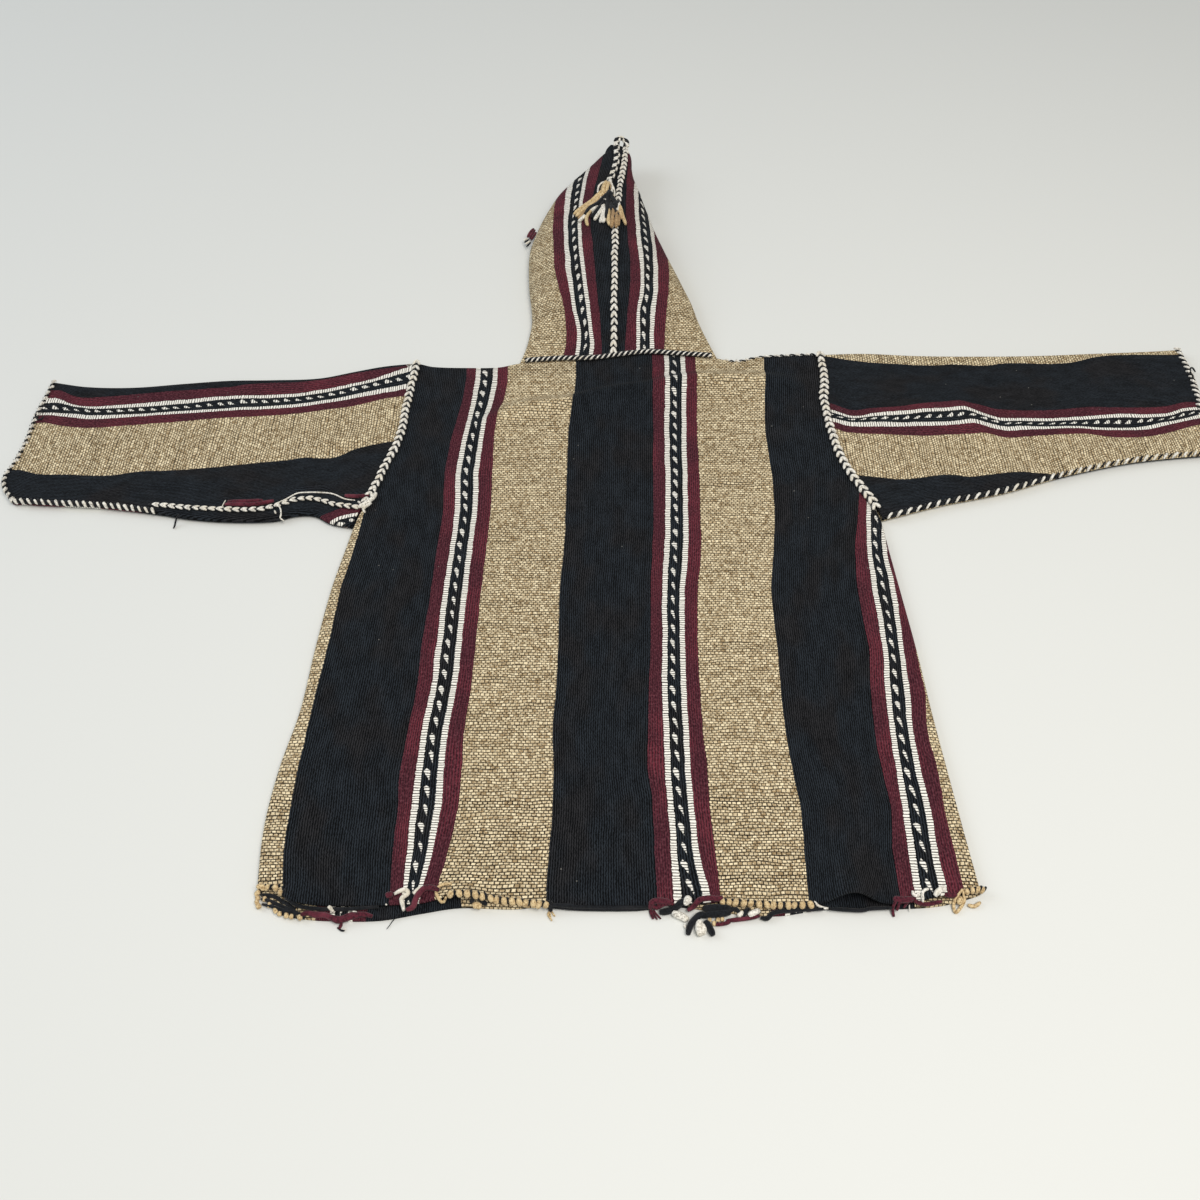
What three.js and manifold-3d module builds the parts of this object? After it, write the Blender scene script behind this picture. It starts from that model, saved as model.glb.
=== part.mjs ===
// Hooded pullover of thick hand-woven wool, laid flat on its front with the hood spread above it.
// Millimetres, +Z up. The hem is towards -Y and the hood towards +Y.
// The origin lies on the flat underside of the front, in the middle of the body.
// Every piece of cloth is a middle surface that is worked out from short tables of sizes and then
// given its thickness, so each one is a wall of even thickness with open ends.

import * as THREE from 'three';
import Module from 'manifold-3d';

// ---------------------------------------------------------------- cloth

const CLOTH = 2.4;
const SEAM_GAP = 0.3;
const LAID = CLOTH / 2;
const ROLL = 3.1;
const LAYER_RISE = 4.7;
const ROLL_FADE = 22;

// Room that a curved seam needs on top of its gap, because both of its edges run straight from
// one point to the next.
const CURVE_EASE = 0.6;

const COLOURS = {
  black: 0x1f2228,
  tan: 0xa9977a,
  braid: 0x8d8880,
  tassel: 0x9b8263,
};

// A smooth curve through two named columns of a table, whose first column rises from row to row.
function curve(table, from, to) {
  const inputs = table.map((row) => row[from]);
  const outputs = table.map((row) => row[to]);
  const slopes = inputs.map((_, i) => {
    const before = Math.max(i - 1, 0);
    const after = Math.min(i + 1, inputs.length - 1);
    return (outputs[after] - outputs[before]) / (inputs[after] - inputs[before]);
  });
  return (input) => {
    let i = 0;
    while (i < inputs.length - 2 && input > inputs[i + 1]) i += 1;
    const span = inputs[i + 1] - inputs[i];
    const t = THREE.MathUtils.clamp((input - inputs[i]) / span, 0, 1);
    const s = t * t * (3 - 2 * t);
    const startSlope = slopes[i] * span * t * (1 - t) * (1 - t);
    const endSlope = slopes[i + 1] * span * t * t * (t - 1);
    return outputs[i] * (1 - s) + outputs[i + 1] * s + startSlope + endSlope;
  };
}

const mix = THREE.MathUtils.lerp;
const smooth = THREE.MathUtils.smoothstep;

function spread(count) {
  return Array.from({ length: count + 1 }, (_, i) => i / count);
}

// Height of the middle of the upper layer, this far in from a rolled fold.
function upperHeight(inset) {
  if (inset < ROLL) {
    return LAID + ROLL + ROLL * Math.sqrt(1 - (1 - inset / ROLL) ** 2);
  }
  const settled = Math.exp((ROLL - inset) / ROLL_FADE);
  return LAID + LAYER_RISE + (2 * ROLL - LAYER_RISE) * settled;
}

function lowerHeight(inset) {
  if (inset < ROLL) return LAID + ROLL - ROLL * Math.sqrt(1 - (1 - inset / ROLL) ** 2);
  return LAID;
}

// Insets across a layer, from one fold to the other: close round the folds, even between them.
function acrossLayer(width, inner) {
  const folded = [0, 0.134 * ROLL, 0.5 * ROLL, ROLL, 13];
  const start = 30;
  const middle = spread(inner).map((part) => start + part * (width - 2 * start));
  return [...folded, ...middle, ...folded.map((inset) => width - inset).reverse()];
}

// A middle surface: points and triangles. Points that are added under one key are shared.
function newSurface() {
  return { points: [], faces: [], shared: new Map() };
}

function addPoint(surface, point, key) {
  if (key !== undefined && surface.shared.has(key)) return surface.shared.get(key);
  surface.points.push(point);
  const index = surface.points.length - 1;
  if (key !== undefined) surface.shared.set(key, index);
  return index;
}

function addGrid(surface, grid, keyAt, flipped) {
  const index = grid.map((row, i) => row.map((point, j) => addPoint(surface, point, keyAt(i, j))));
  for (let i = 0; i + 1 < index.length; i += 1) {
    for (let j = 0; j + 1 < index[i].length; j += 1) {
      const corners = [index[i][j], index[i][j + 1], index[i + 1][j + 1], index[i + 1][j]];
      if (flipped) corners.reverse();
      const [a, b, c, d] = corners;
      surface.faces.push([a, b, c], [a, c, d]);
    }
  }
  return index;
}

function geometryOf(points, faces) {
  const geometry = new THREE.BufferGeometry();
  const position = points.flatMap((point) => [point.x, point.y, point.z]);
  geometry.setAttribute('position', new THREE.Float32BufferAttribute(position, 3));
  geometry.setIndex(faces.flat());
  geometry.computeVertexNormals();
  return geometry;
}

// Gives a middle surface its thickness and walls up its free edges.
function thicken(surface, thickness) {
  const normals = surface.points.map(() => new THREE.Vector3());
  const edges = new Set();
  for (const face of surface.faces) {
    const [a, b, c] = face.map((index) => surface.points[index]);
    const normal = b.clone().sub(a).cross(c.clone().sub(a));
    face.forEach((index) => normals[index].add(normal));
    face.forEach((index, k) => edges.add(`${index}/${face[(k + 1) % 3]}`));
  }
  const count = surface.points.length;
  const outer = surface.points.map((p, i) => p.clone().addScaledVector(normals[i].normalize(), thickness / 2));
  const inner = surface.points.map((p, i) => p.clone().addScaledVector(normals[i], -thickness / 2));
  const faces = [];
  for (const [a, b, c] of surface.faces) {
    faces.push([a, b, c], [a + count, c + count, b + count]);
    for (const [from, to] of [[a, b], [b, c], [c, a]]) {
      if (edges.has(`${to}/${from}`)) continue;
      faces.push([to, from, from + count], [to, from + count, to + count]);
    }
  }
  return geometryOf([...outer, ...inner], faces);
}

const garment = new THREE.Group();

function addPiece(name, geometry, colour) {
  const material = new THREE.MeshStandardMaterial({ color: colour, roughness: 0.9, metalness: 0 });
  const piece = new THREE.Mesh(geometry, material);
  piece.name = name;
  garment.add(piece);
}

// ---------------------------------------------------------------- body

// One width of cloth goes round both sides. Its folds run from the hem up to the underarms, and
// the armhole edges go on from there to the shoulders.
const SIDES = [
  { y: -346, left: -300, right: 295 },
  { y: -277, left: -306, right: 291 },
  { y: -218, left: -303, right: 288 },
  { y: -155, left: -294, right: 285 },
  { y: -87, left: -291, right: 283 },
  { y: -13, left: -286, right: 279 },
  { y: 40, left: -279, right: 276 },
  { y: 80, left: -273, right: 274 },
  { y: 102, left: -267, right: 269 },
  { y: 131, left: -258, right: 257 },
  { y: 153, left: -253, right: 249 },
  { y: 202, left: -241, right: 239 },
  { y: 262, left: -238, right: 236 },
  { y: 308, left: -235, right: 241 },
  { y: 348, left: -233, right: 240 },
];
const UNDERARM = 80;

const BACK_TOP = [
  { x: -235, y: 332 },
  { x: -214, y: 325 },
  { x: -171, y: 323 },
  { x: -136, y: 324 },
  { x: -113, y: 331 },
  { x: -67, y: 336 },
  { x: -27, y: 337 },
  { x: 3, y: 343 },
  { x: 36, y: 348 },
  { x: 65, y: 346 },
  { x: 119, y: 340 },
  { x: 140, y: 334 },
  { x: 170, y: 342 },
  { x: 206, y: 345 },
  { x: 241, y: 347 },
];

// The front neck is cut straight across and up to the ends of the shoulder seams.
const FRONT_NECK = [
  { x: -113, y: 331 },
  { x: -36, y: 268 },
  { x: 36, y: 268 },
  { x: 119, y: 340 },
];

const HEM = [
  { x: -300, back: -330, front: -333 },
  { x: -278, back: -336, front: -353 },
  { x: -245, back: -345, front: -357 },
  { x: -200, back: -345, front: -356 },
  { x: -166, back: -343, front: -350 },
  { x: -135, back: -338, front: -345 },
  { x: -90, back: -342, front: -350 },
  { x: -20, back: -345, front: -346 },
  { x: 80, back: -342, front: -349 },
  { x: 125, back: -345, front: -352 },
  { x: 160, back: -344, front: -347 },
  { x: 188, back: -340, front: -346 },
  { x: 222, back: -344, front: -346 },
  { x: 262, back: -337, front: -343 },
  { x: 296, back: -331, front: -334 },
];

// The crease that crosses the back below the shoulders: the cloth stands up along this line and
// drops behind it.
const CREASE = [
  { x: -190, y: 205, rise: 0 },
  { x: -132, y: 231, rise: 5 },
  { x: -53, y: 259, rise: 8 },
  { x: 27, y: 281, rise: 9 },
  { x: 85, y: 298, rise: 9 },
  { x: 150, y: 300, rise: 9 },
  { x: 200, y: 300, rise: 5 },
  { x: 226, y: 300, rise: 0 },
];
const CREASE_FRONT = 46;
const CREASE_DROP = 13;

// Places where the back hem arches clear of the front.
const ARCHES = [
  { x: 187, halfWidth: 30, rise: 15, depth: 62 },
  { x: -133, halfWidth: 34, rise: 8, depth: 48 },
  { x: 262, halfWidth: 20, rise: 1.5, depth: 36 },
];

const leftSide = curve(SIDES, 'y', 'left');
const rightSide = curve(SIDES, 'y', 'right');
const backTop = curve(BACK_TOP, 'x', 'y');
const backHem = curve(HEM, 'x', 'back');
const frontHem = curve(HEM, 'x', 'front');
const creaseLine = curve(CREASE, 'x', 'y');
const creaseRise = curve(CREASE, 'x', 'rise');

function creaseHeight(x, y) {
  const below = creaseLine(x) - y;
  const profile = below < 0 ? smooth(below, -CREASE_DROP, 0) : Math.exp(-((below / CREASE_FRONT) ** 1.4));
  return creaseRise(x) * profile;
}

function archHeight(x, y) {
  return ARCHES.reduce((sum, arch) => {
    const across = THREE.MathUtils.clamp(Math.abs(x - arch.x) / arch.halfWidth, 0, 1);
    const along = THREE.MathUtils.clamp((y - backHem(x)) / arch.depth, 0, 1);
    return sum + arch.rise * (0.5 + 0.5 * Math.cos(Math.PI * across)) * (1 - along) ** 2;
  }, 0);
}

// Slow unevenness of hand-woven cloth that has been laid down, never deeper than the gap below it.
function unevenness(x, y) {
  return 0.45 * Math.sin(x / 47 + y / 160) * Math.cos(y / 66 - x / 210);
}

function backHeight(x, y) {
  const inset = Math.max(0, Math.min(x - leftSide(y), rightSide(y) - x));
  const folded = upperHeight(inset);
  const open = LAID + LAYER_RISE;
  const base = y <= UNDERARM ? folded : mix(Math.max(folded, open), open, smooth(y, UNDERARM, UNDERARM + 70));
  const stitchedDown = smooth(backTop(x) - y, 0, 24);
  const loose = creaseHeight(x, y) + archHeight(x, y) + unevenness(x, y) * smooth(inset, 4, 30);
  return base + loose * stitchedDown;
}

// Rows of the back, from the hem to the shoulders, as parts of the way; the front shares the
// lower ones, because both layers are one cloth there.
const LOWER_ROWS = [0, 0.016, 0.04, 0.075, 0.13, 0.22, 0.33, 0.44, 0.53, 0.61];
const BACK_ROWS = [0.65, 0.69, 0.73, 0.77, 0.81, 0.845, 0.872, 0.892, 0.908, 0.922, 0.937, 0.955, 0.978, 1];
const FRONT_ROWS = [0.65, 0.69, 0.73, 0.77, 0.81, 0.85, 0.9, 1];

function bodyPoint(part, row, hem, top, height) {
  const sleeveSide = { left: leftSide(340), right: rightSide(340) };
  const hemX = mix(leftSide(-340), rightSide(-340), part);
  const topX = mix(sleeveSide.left, sleeveSide.right, part);
  const y = mix(hem(hemX), top(topX), row);
  const x = mix(leftSide(y), rightSide(y), part);
  return new THREE.Vector3(x, y, height(x, y));
}

// A line of straight stretches through points that rise in x.
function straightLine(points) {
  return (x) => {
    let i = 0;
    while (i < points.length - 2 && x > points[i + 1].x) i += 1;
    const part = THREE.MathUtils.clamp((x - points[i].x) / (points[i + 1].x - points[i].x), 0, 1);
    return mix(points[i].y, points[i + 1].y, part);
  };
}

const neckLine = straightLine(FRONT_NECK);

function frontTop(x) {
  const first = FRONT_NECK[0].x;
  const last = FRONT_NECK[FRONT_NECK.length - 1].x;
  return x > first && x < last ? neckLine(x) : backTop(x);
}

// Columns of the front, as parts of its width, with one at each corner of the neck.
function frontParts() {
  const width = rightSide(340) - leftSide(340);
  const part = (x) => (x - leftSide(340)) / width;
  const folds = acrossLayer(width, 1).map((inset) => inset / width);
  const middle = [-170, -113, -75, -36, 0, 36, 78, 119, 178].map(part);
  return [...folds.slice(0, 6), ...middle, ...folds.slice(6)];
}

function backParts() {
  const width = rightSide(0) - leftSide(0);
  return acrossLayer(width, 18).map((inset) => inset / width);
}

function bodyGrid(rows, parts, hem, top, height) {
  return rows.map((row) => parts.map((part) => bodyPoint(part, row, hem, top, height)));
}

function frontHeight(x, y) {
  const inset = Math.max(0, Math.min(x - leftSide(y), rightSide(y) - x));
  return y <= UNDERARM ? lowerHeight(inset) : LAID;
}

// The body's upper edges as they are built, which the hood's lower edge follows.
const topPoint = (part, top) => bodyPoint(part, 1, backHem, top, () => 0);
const backEdge = straightLine(backParts().map((part) => topPoint(part, backTop)));
const frontEdgePoints = frontParts().map((part) => topPoint(part, frontTop));
const frontEdge = straightLine(frontEdgePoints);

function buildBody() {
  const surface = newSurface();
  const backGrid = bodyGrid([...LOWER_ROWS, ...BACK_ROWS], backParts(), backHem, backTop, backHeight);
  const frontGrid = bodyGrid([...LOWER_ROWS, ...FRONT_ROWS], frontParts(), frontHem, frontTop, frontHeight);
  const sideKey = (columns) => (i, j) => {
    if (i >= LOWER_ROWS.length) return undefined;
    if (j === 0) return `left ${i}`;
    return j === columns - 1 ? `right ${i}` : undefined;
  };
  addGrid(surface, backGrid, sideKey(backGrid[0].length), false);
  addGrid(surface, frontGrid, sideKey(frontGrid[0].length), true);
  addPiece('body', thicken(surface, CLOTH), COLOURS.black);
}

// ---------------------------------------------------------------- sleeves

// Each sleeve is a tube that lies flat: upper and lower outline, by the distance from the middle.
const SLEEVES = {
  left: {
    side: -1,
    armhole: leftSide,
    top: [
      { out: 233, y: 331 },
      { out: 272, y: 325 },
      { out: 304, y: 316 },
      { out: 345, y: 304 },
      { out: 400, y: 301 },
      { out: 448, y: 300 },
      { out: 496, y: 295 },
      { out: 556, y: 288 },
      { out: 609, y: 289 },
      { out: 651, y: 297 },
    ],
    bottom: [
      { out: 273, y: 72 },
      { out: 300, y: 78 },
      { out: 318, y: 89 },
      { out: 339, y: 89 },
      { out: 360, y: 82 },
      { out: 407, y: 81 },
      { out: 450, y: 85 },
      { out: 479, y: 91 },
      { out: 538, y: 100 },
      { out: 596, y: 104 },
      { out: 640, y: 107 },
    ],
    cuff: [
      { y: 107, out: 640 },
      { y: 130, out: 657 },
      { y: 146, out: 660 },
      { y: 166, out: 656 },
      { y: 201, out: 654 },
      { y: 242, out: 655 },
      { y: 297, out: 651 },
    ],
  },
  right: {
    side: 1,
    armhole: rightSide,
    top: [
      { out: 240, y: 346 },
      { out: 293, y: 348 },
      { out: 355, y: 344 },
      { out: 424, y: 343 },
      { out: 493, y: 344 },
      { out: 564, y: 348 },
      { out: 634, y: 352 },
      { out: 668, y: 355 },
    ],
    bottom: [
      { out: 274, y: 82 },
      { out: 313, y: 95 },
      { out: 345, y: 105 },
      { out: 411, y: 122 },
      { out: 476, y: 145 },
      { out: 548, y: 165 },
      { out: 600, y: 174 },
      { out: 664, y: 181 },
    ],
    cuff: [
      { y: 181, out: 664 },
      { y: 225, out: 662 },
      { y: 267, out: 666 },
      { y: 307, out: 670 },
      { y: 355, out: 668 },
    ],
  },
};

function sleeveShape(sleeve) {
  const top = curve(sleeve.top, 'out', 'y');
  const bottom = curve(sleeve.bottom, 'out', 'y');
  const cuff = curve(sleeve.cuff, 'y', 'out');
  const besideFold = (y) => (CLOTH / 2) * (1 - smooth(y, UNDERARM, UNDERARM + 34));
  const armhole = (y) => sleeve.side * sleeve.armhole(y) + SEAM_GAP + CURVE_EASE + besideFold(y);
  const ends = {
    armTop: { y: sleeve.top[0].y, out: armhole(sleeve.top[0].y) },
    armBottom: { y: sleeve.bottom[0].y, out: armhole(sleeve.bottom[0].y) },
    cuffTop: sleeve.cuff[sleeve.cuff.length - 1],
    cuffBottom: sleeve.cuff[0],
  };
  return { top, bottom, cuff, armhole, ends };
}

// Place on a sleeve: along from the armhole (0) to the cuff (1), up from the lower fold (0) to
// the upper one (1). The armhole and the cuff keep their own curves.
function sleevePlan(sleeve, shape, along, up) {
  const { armTop, armBottom, cuffTop, cuffBottom } = shape.ends;
  const outBottom = mix(armBottom.out, cuffBottom.out, along);
  const outTop = mix(armTop.out, cuffTop.out, along);
  const bowAtArm = shape.armhole(mix(armBottom.y, armTop.y, up)) - mix(armBottom.out, armTop.out, up);
  const bowAtCuff = shape.cuff(mix(cuffBottom.y, cuffTop.y, up)) - mix(cuffBottom.out, cuffTop.out, up);
  const out = mix(outBottom, outTop, up) + mix(bowAtArm, bowAtCuff, along);
  const y = mix(shape.bottom(outBottom), shape.top(outTop), up);
  return { x: sleeve.side * out, y, width: shape.top(outTop) - shape.bottom(outBottom) };
}

function sleevePoint(sleeve, shape, along, up, height) {
  const { x, y, width } = sleevePlan(sleeve, shape, along, up);
  const inset = width * Math.min(up, 1 - up);
  const wave = height === upperHeight ? 0.5 * unevenness(x, y) * smooth(inset, 4, 30) : 0;
  return new THREE.Vector3(x, y, height(inset) + wave);
}

const SLEEVE_ROWS = [0, 0.05, 0.11, 0.17, 0.24, 0.33, 0.44, 0.55, 0.67, 0.79, 0.9, 1];

function buildSleeve(name, sleeve) {
  const shape = sleeveShape(sleeve);
  const surface = newSurface();
  const layer = (inner, height) => SLEEVE_ROWS.map((along) => {
    const { width } = sleevePlan(sleeve, shape, along, 0.5);
    return acrossLayer(width, inner).map((inset) => sleevePoint(sleeve, shape, along, inset / width, height));
  });
  const foldKey = (columns) => (i, j) => {
    if (j === 0) return `lower ${i}`;
    return j === columns - 1 ? `upper ${i}` : undefined;
  };
  const upper = layer(8, upperHeight);
  const lower = layer(6, lowerHeight);
  addGrid(surface, upper, foldKey(upper[0].length), sleeve.side > 0);
  addGrid(surface, lower, foldKey(lower[0].length), sleeve.side < 0);
  addPiece(name, thicken(surface, CLOTH), COLOURS.black);
}

// ---------------------------------------------------------------- hood

// One cloth, folded over at the top and seamed up the middle of the back. It lies with that seam
// upwards and its face opening underneath, and its stiff tip rises clear of the table.
const HOOD = [
  { y: 340, left: -114, seam: -3, right: 120, crown: 5.9, lift: 0, face: 38 },
  { y: 362, left: -107, seam: -3, right: 112, crown: 11, lift: 0, face: 46 },
  { y: 385, left: -103, seam: -2, right: 105, crown: 18, lift: 0, face: 56 },
  { y: 409, left: -101, seam: -2, right: 99, crown: 25, lift: 0, face: 60 },
  { y: 435, left: -103, seam: -2, right: 94, crown: 30, lift: 0, face: 60 },
  { y: 463, left: -106, seam: -1, right: 86, crown: 34, lift: 0, face: 56 },
  { y: 494, left: -108, seam: -1, right: 77, crown: 37, lift: 0, face: 53 },
  { y: 524, left: -109, seam: 0, right: 68, crown: 39, lift: 0, face: 47 },
  { y: 549, left: -108, seam: 0, right: 61, crown: 40, lift: 0, face: 36 },
  { y: 578, left: -102, seam: 1, right: 53, crown: 40, lift: 1, face: 0 },
  { y: 600, left: -96, seam: 3, right: 48, crown: 40, lift: 3, face: 0 },
  { y: 628, left: -86, seam: 6, right: 41, crown: 40, lift: 6, face: 0 },
  { y: 655, left: -74, seam: 8, right: 35, crown: 40, lift: 10, face: 0 },
  { y: 684, left: -55, seam: 11, right: 27, crown: 40, lift: 14, face: 0 },
  { y: 712, left: -34, seam: 13, right: 24, crown: 40, lift: 17, face: 0 },
  { y: 732, left: -21, seam: 14, right: 24, crown: 39, lift: 19, face: 0 },
  { y: 745, left: -12, seam: 13, right: 21, crown: 36, lift: 22, face: 0 },
];
const HOOD_TIP = { x: 5, y: 750, z: 29 };
const CROWN_ROUNDNESS = 2.3;
const EDGE_ROLL = 4.6;

const hoodRows = HOOD.map((row) => ({ ...row, outer: { left: row.left, right: row.right } }));

// One half of a hood section, from the back seam round the side to the face edge.
function hoodHalf(row, side, arcSteps, underSteps) {
  const direction = side === 'left' ? -1 : 1;
  const flooring = LAID + row.lift;
  const seamX = row.seam + direction * SEAM_GAP / 2;
  const edgeX = row.outer[side];
  const roll = Math.min(EDGE_ROLL, (row.crown - flooring) * 0.42);
  const waist = flooring + roll;
  const reach = Math.abs(edgeX - seamX);
  const points = [];
  for (const part of spread(arcSteps)) {
    const angle = part * Math.PI / 2;
    const out = reach * Math.sin(angle) ** (2 / CROWN_ROUNDNESS);
    const up = (row.crown - waist) * Math.cos(angle) ** (2 / CROWN_ROUNDNESS);
    points.push({ x: seamX + direction * out, z: waist + up, under: 0 });
  }
  for (const part of [1 / 3, 2 / 3, 1]) {
    const angle = part * Math.PI / 2;
    const back = roll * (1 - Math.cos(angle));
    points.push({ x: edgeX - direction * back, z: waist - roll * Math.sin(angle), under: 0.001 });
  }
  const start = edgeX - direction * roll;
  const end = row.face > 0 ? row.seam + direction * row.face : row.seam;
  for (const part of spread(underSteps).slice(1)) {
    points.push({ x: mix(start, end, part), z: flooring, under: part });
  }
  return points;
}

// At the neck the hood follows the back's top edge above and the front's neck edge below, and
// this pull towards them fades out over the first rows.
const NECK_BLEND = 96;

function hoodPoint(row, place) {
  const base = HOOD[0].y;
  const pull = 1 - smooth(row.y, base, base + NECK_BLEND);
  const seamLine = place.under > 0 ? frontEdge(place.x) : backEdge(place.x);
  const slantEase = place.under > 0 ? CURVE_EASE * 2 : CURVE_EASE;
  const target = seamLine + SEAM_GAP + slantEase;
  const y = row.y + pull * (target - base);
  return new THREE.Vector3(place.x, y, place.z);
}

const ARC_STEPS = 8;
const UNDER_STEPS = 3;

function buildHood() {
  const surface = newSurface();
  const columns = ARC_STEPS + 1 + 3 + UNDER_STEPS;
  const last = hoodRows.length - 1;
  const rings = {};
  for (const side of ['left', 'right']) {
    const grid = hoodRows.map((row) => hoodHalf(row, side, ARC_STEPS, UNDER_STEPS)
      .map((place) => hoodPoint(row, place)));
    const key = (i, j) => {
      if (j === columns - 1 && hoodRows[i].face === 0) return `top fold ${i}`;
      return j === 0 && i === last ? 'tip seam' : undefined;
    };
    const index = addGrid(surface, grid, key, side === 'left');
    rings[side] = index[last];
  }
  const tip = addPoint(surface, new THREE.Vector3(HOOD_TIP.x, HOOD_TIP.y, HOOD_TIP.z));
  for (let j = 0; j + 1 < columns; j += 1) {
    surface.faces.push([rings.left[j + 1], rings.left[j], tip]);
    surface.faces.push([rings.right[j], rings.right[j + 1], tip]);
  }
  addPiece('hood', thicken(surface, CLOTH), COLOURS.black);
}

// ---------------------------------------------------------------- seam braids

// A closed solid through a row of equal rings.
function loft(rings) {
  const size = rings[0].length;
  const points = rings.flat();
  const faces = [];
  for (let i = 0; i + 1 < rings.length; i += 1) {
    for (let j = 0; j < size; j += 1) {
      const next = (j + 1) % size;
      const [a, b] = [i * size + j, i * size + next];
      faces.push([a, b, b + size], [a, b + size, a + size]);
    }
  }
  const end = (rings.length - 1) * size;
  for (let j = 1; j + 1 < size; j += 1) {
    faces.push([0, j + 1, j], [end, end + j, end + j + 1]);
  }
  return geometryOf(points, faces);
}

// Half-round section of a plaited seam: across and up, as parts of its width and height.
const BRAID_SECTION = [
  { across: -0.5, up: 0 },
  { across: -0.46, up: 0.5 },
  { across: -0.24, up: 0.93 },
  { across: 0.24, up: 0.93 },
  { across: 0.46, up: 0.5 },
  { across: 0.5, up: 0 },
];

// A braid along stations on top of the cloth, each with the cloth's slope to either side.
function braid(name, stations, width, height) {
  const rings = stations.map(({ at, left, right }, i) => {
    const before = stations[Math.max(i - 1, 0)].at;
    const after = stations[Math.min(i + 1, stations.length - 1)].at;
    const ahead = after.clone().sub(before).setZ(0).normalize();
    const aside = new THREE.Vector3(ahead.y, -ahead.x, 0);
    const taper = i === 0 || i === stations.length - 1 ? 0.55 : 1;
    return BRAID_SECTION.map(({ across, up }) => {
      const point = at.clone().addScaledVector(aside, across * width * taper);
      const fall = across > 0 ? right : left;
      point.z += up * height * taper - fall * Math.abs(across) * 2;
      return point;
    });
  });
  addPiece(name, loft(rings), COLOURS.braid);
}

const SURFACE = CLOTH / 2 + SEAM_GAP;

function buildArmholeBraid(name, sleeve) {
  const shape = sleeveShape(sleeve);
  const stations = spread(20).map((part) => {
    const y = mix(sleeve.top[0].y - 5, 100, part);
    const up = (y - shape.ends.armBottom.y) / (shape.ends.armTop.y - shape.ends.armBottom.y);
    const x = sleeve.armhole(y);
    const onBody = [1, 3, 5].map((inset) => backHeight(x - sleeve.side * inset, y));
    const onSleeve = sleevePoint(sleeve, shape, 0, up, upperHeight).z;
    const z = Math.max(...onBody, onSleeve) + SURFACE + 0.12;
    return { at: new THREE.Vector3(x, y, z), left: 0, right: 0 };
  });
  braid(name, stations, 9.5, 2.6);
}

// The underarm seam of the left sleeve has rolled on to its upper side.
const LEFT_SEAM = [
  { out: 276, y: 97 },
  { out: 298, y: 101 },
  { out: 318, y: 108 },
  { out: 340, y: 108 },
  { out: 358, y: 99 },
  { out: 380, y: 93 },
  { out: 424, y: 94 },
  { out: 452, y: 96 },
  { out: 490, y: 100 },
];

function buildSleeveBraid() {
  const sleeve = SLEEVES.left;
  const shape = sleeveShape(sleeve);
  const seam = curve(LEFT_SEAM, 'out', 'y');
  const stations = spread(22).map((part) => {
    const out = mix(276, 490, part);
    const y = seam(out);
    const inset = y - shape.bottom(out);
    const z = upperHeight(inset) + SURFACE + 0.5;
    return { at: new THREE.Vector3(sleeve.side * out, y, z), left: 0, right: 0 };
  });
  braid('sleeve_seam_braid', stations, 6.5, 2.2);
}

function buildNeckBraid() {
  const stations = spread(22).map((part) => {
    const x = mix(-106, 112, part);
    const y = backTop(x);
    return { at: new THREE.Vector3(x, y, HOOD[0].crown + SURFACE + 0.5), left: -0.6, right: 0.1 };
  });
  braid('neck_braid', stations, 6, 2.6);
}

const hoodSeam = curve(HOOD, 'y', 'seam');
const hoodCrown = curve(HOOD, 'y', 'crown');
const HOOD_BRAID = { width: 10, height: 3.2, from: 352, to: 738, aside: 2, asideFrom: 640 };

function buildHoodBraid() {
  const stations = spread(30).map((part) => {
    const y = mix(HOOD_BRAID.from, HOOD_BRAID.to, part);
    const aside = HOOD_BRAID.aside * smooth(y, HOOD_BRAID.asideFrom, HOOD_BRAID.to);
    return { at: new THREE.Vector3(hoodSeam(y) + aside, y, hoodCrown(y) + SURFACE + 0.35), left: 0, right: 0 };
  });
  braid('hood_seam_braid', stations, HOOD_BRAID.width, HOOD_BRAID.height);
}

// ---------------------------------------------------------------- cord and tassel

// A plaited cord leaves the tip, turns round in one bend and lies back along the hood to a knot,
// from which the tassel fans out.
const CORD_RADIUS = 2.9;
const CORD_PATH = [
  { x: 16.6, y: 740.5, z: 42.9 },
  { x: 17.3, y: 745, z: 43.1 },
  { x: 16.6, y: 749.8, z: 44.3 },
  { x: 13.6, y: 753.4, z: 46 },
  { x: 9.8, y: 754.2, z: 47.3 },
  { x: 6.2, y: 751.8, z: 48 },
  { x: 4.3, y: 747, z: 47.9 },
  { x: 3.6, y: 740.5, z: 47 },
  { x: 3.6, y: 732, z: 45.9 },
  { x: 3.9, y: 722, z: 45 },
  { x: 3.9, y: 711, z: 44.7 },
  { x: 3, y: 699, z: 44.7 },
  { x: 0.9, y: 685, z: 44.7 },
  { x: -1.9, y: 671, z: 44.7 },
  { x: -5.5, y: 657, z: 45 },
  { x: -9.4, y: 643.9, z: 46.6 },
];
const KNOT = { x: -10.5, y: 634, z: 48, radius: 9, flatness: 0.68 };

function buildCord() {
  const path = new THREE.CatmullRomCurve3(CORD_PATH.map(({ x, y, z }) => new THREE.Vector3(x, y, z)));
  const section = new THREE.Shape();
  section.absarc(0, 0, CORD_RADIUS, 0, Math.PI * 2);
  const geometry = new THREE.ExtrudeGeometry(section, { steps: 30, curveSegments: 4, extrudePath: path });
  addPiece('tip_cord', geometry, COLOURS.braid);
}

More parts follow.
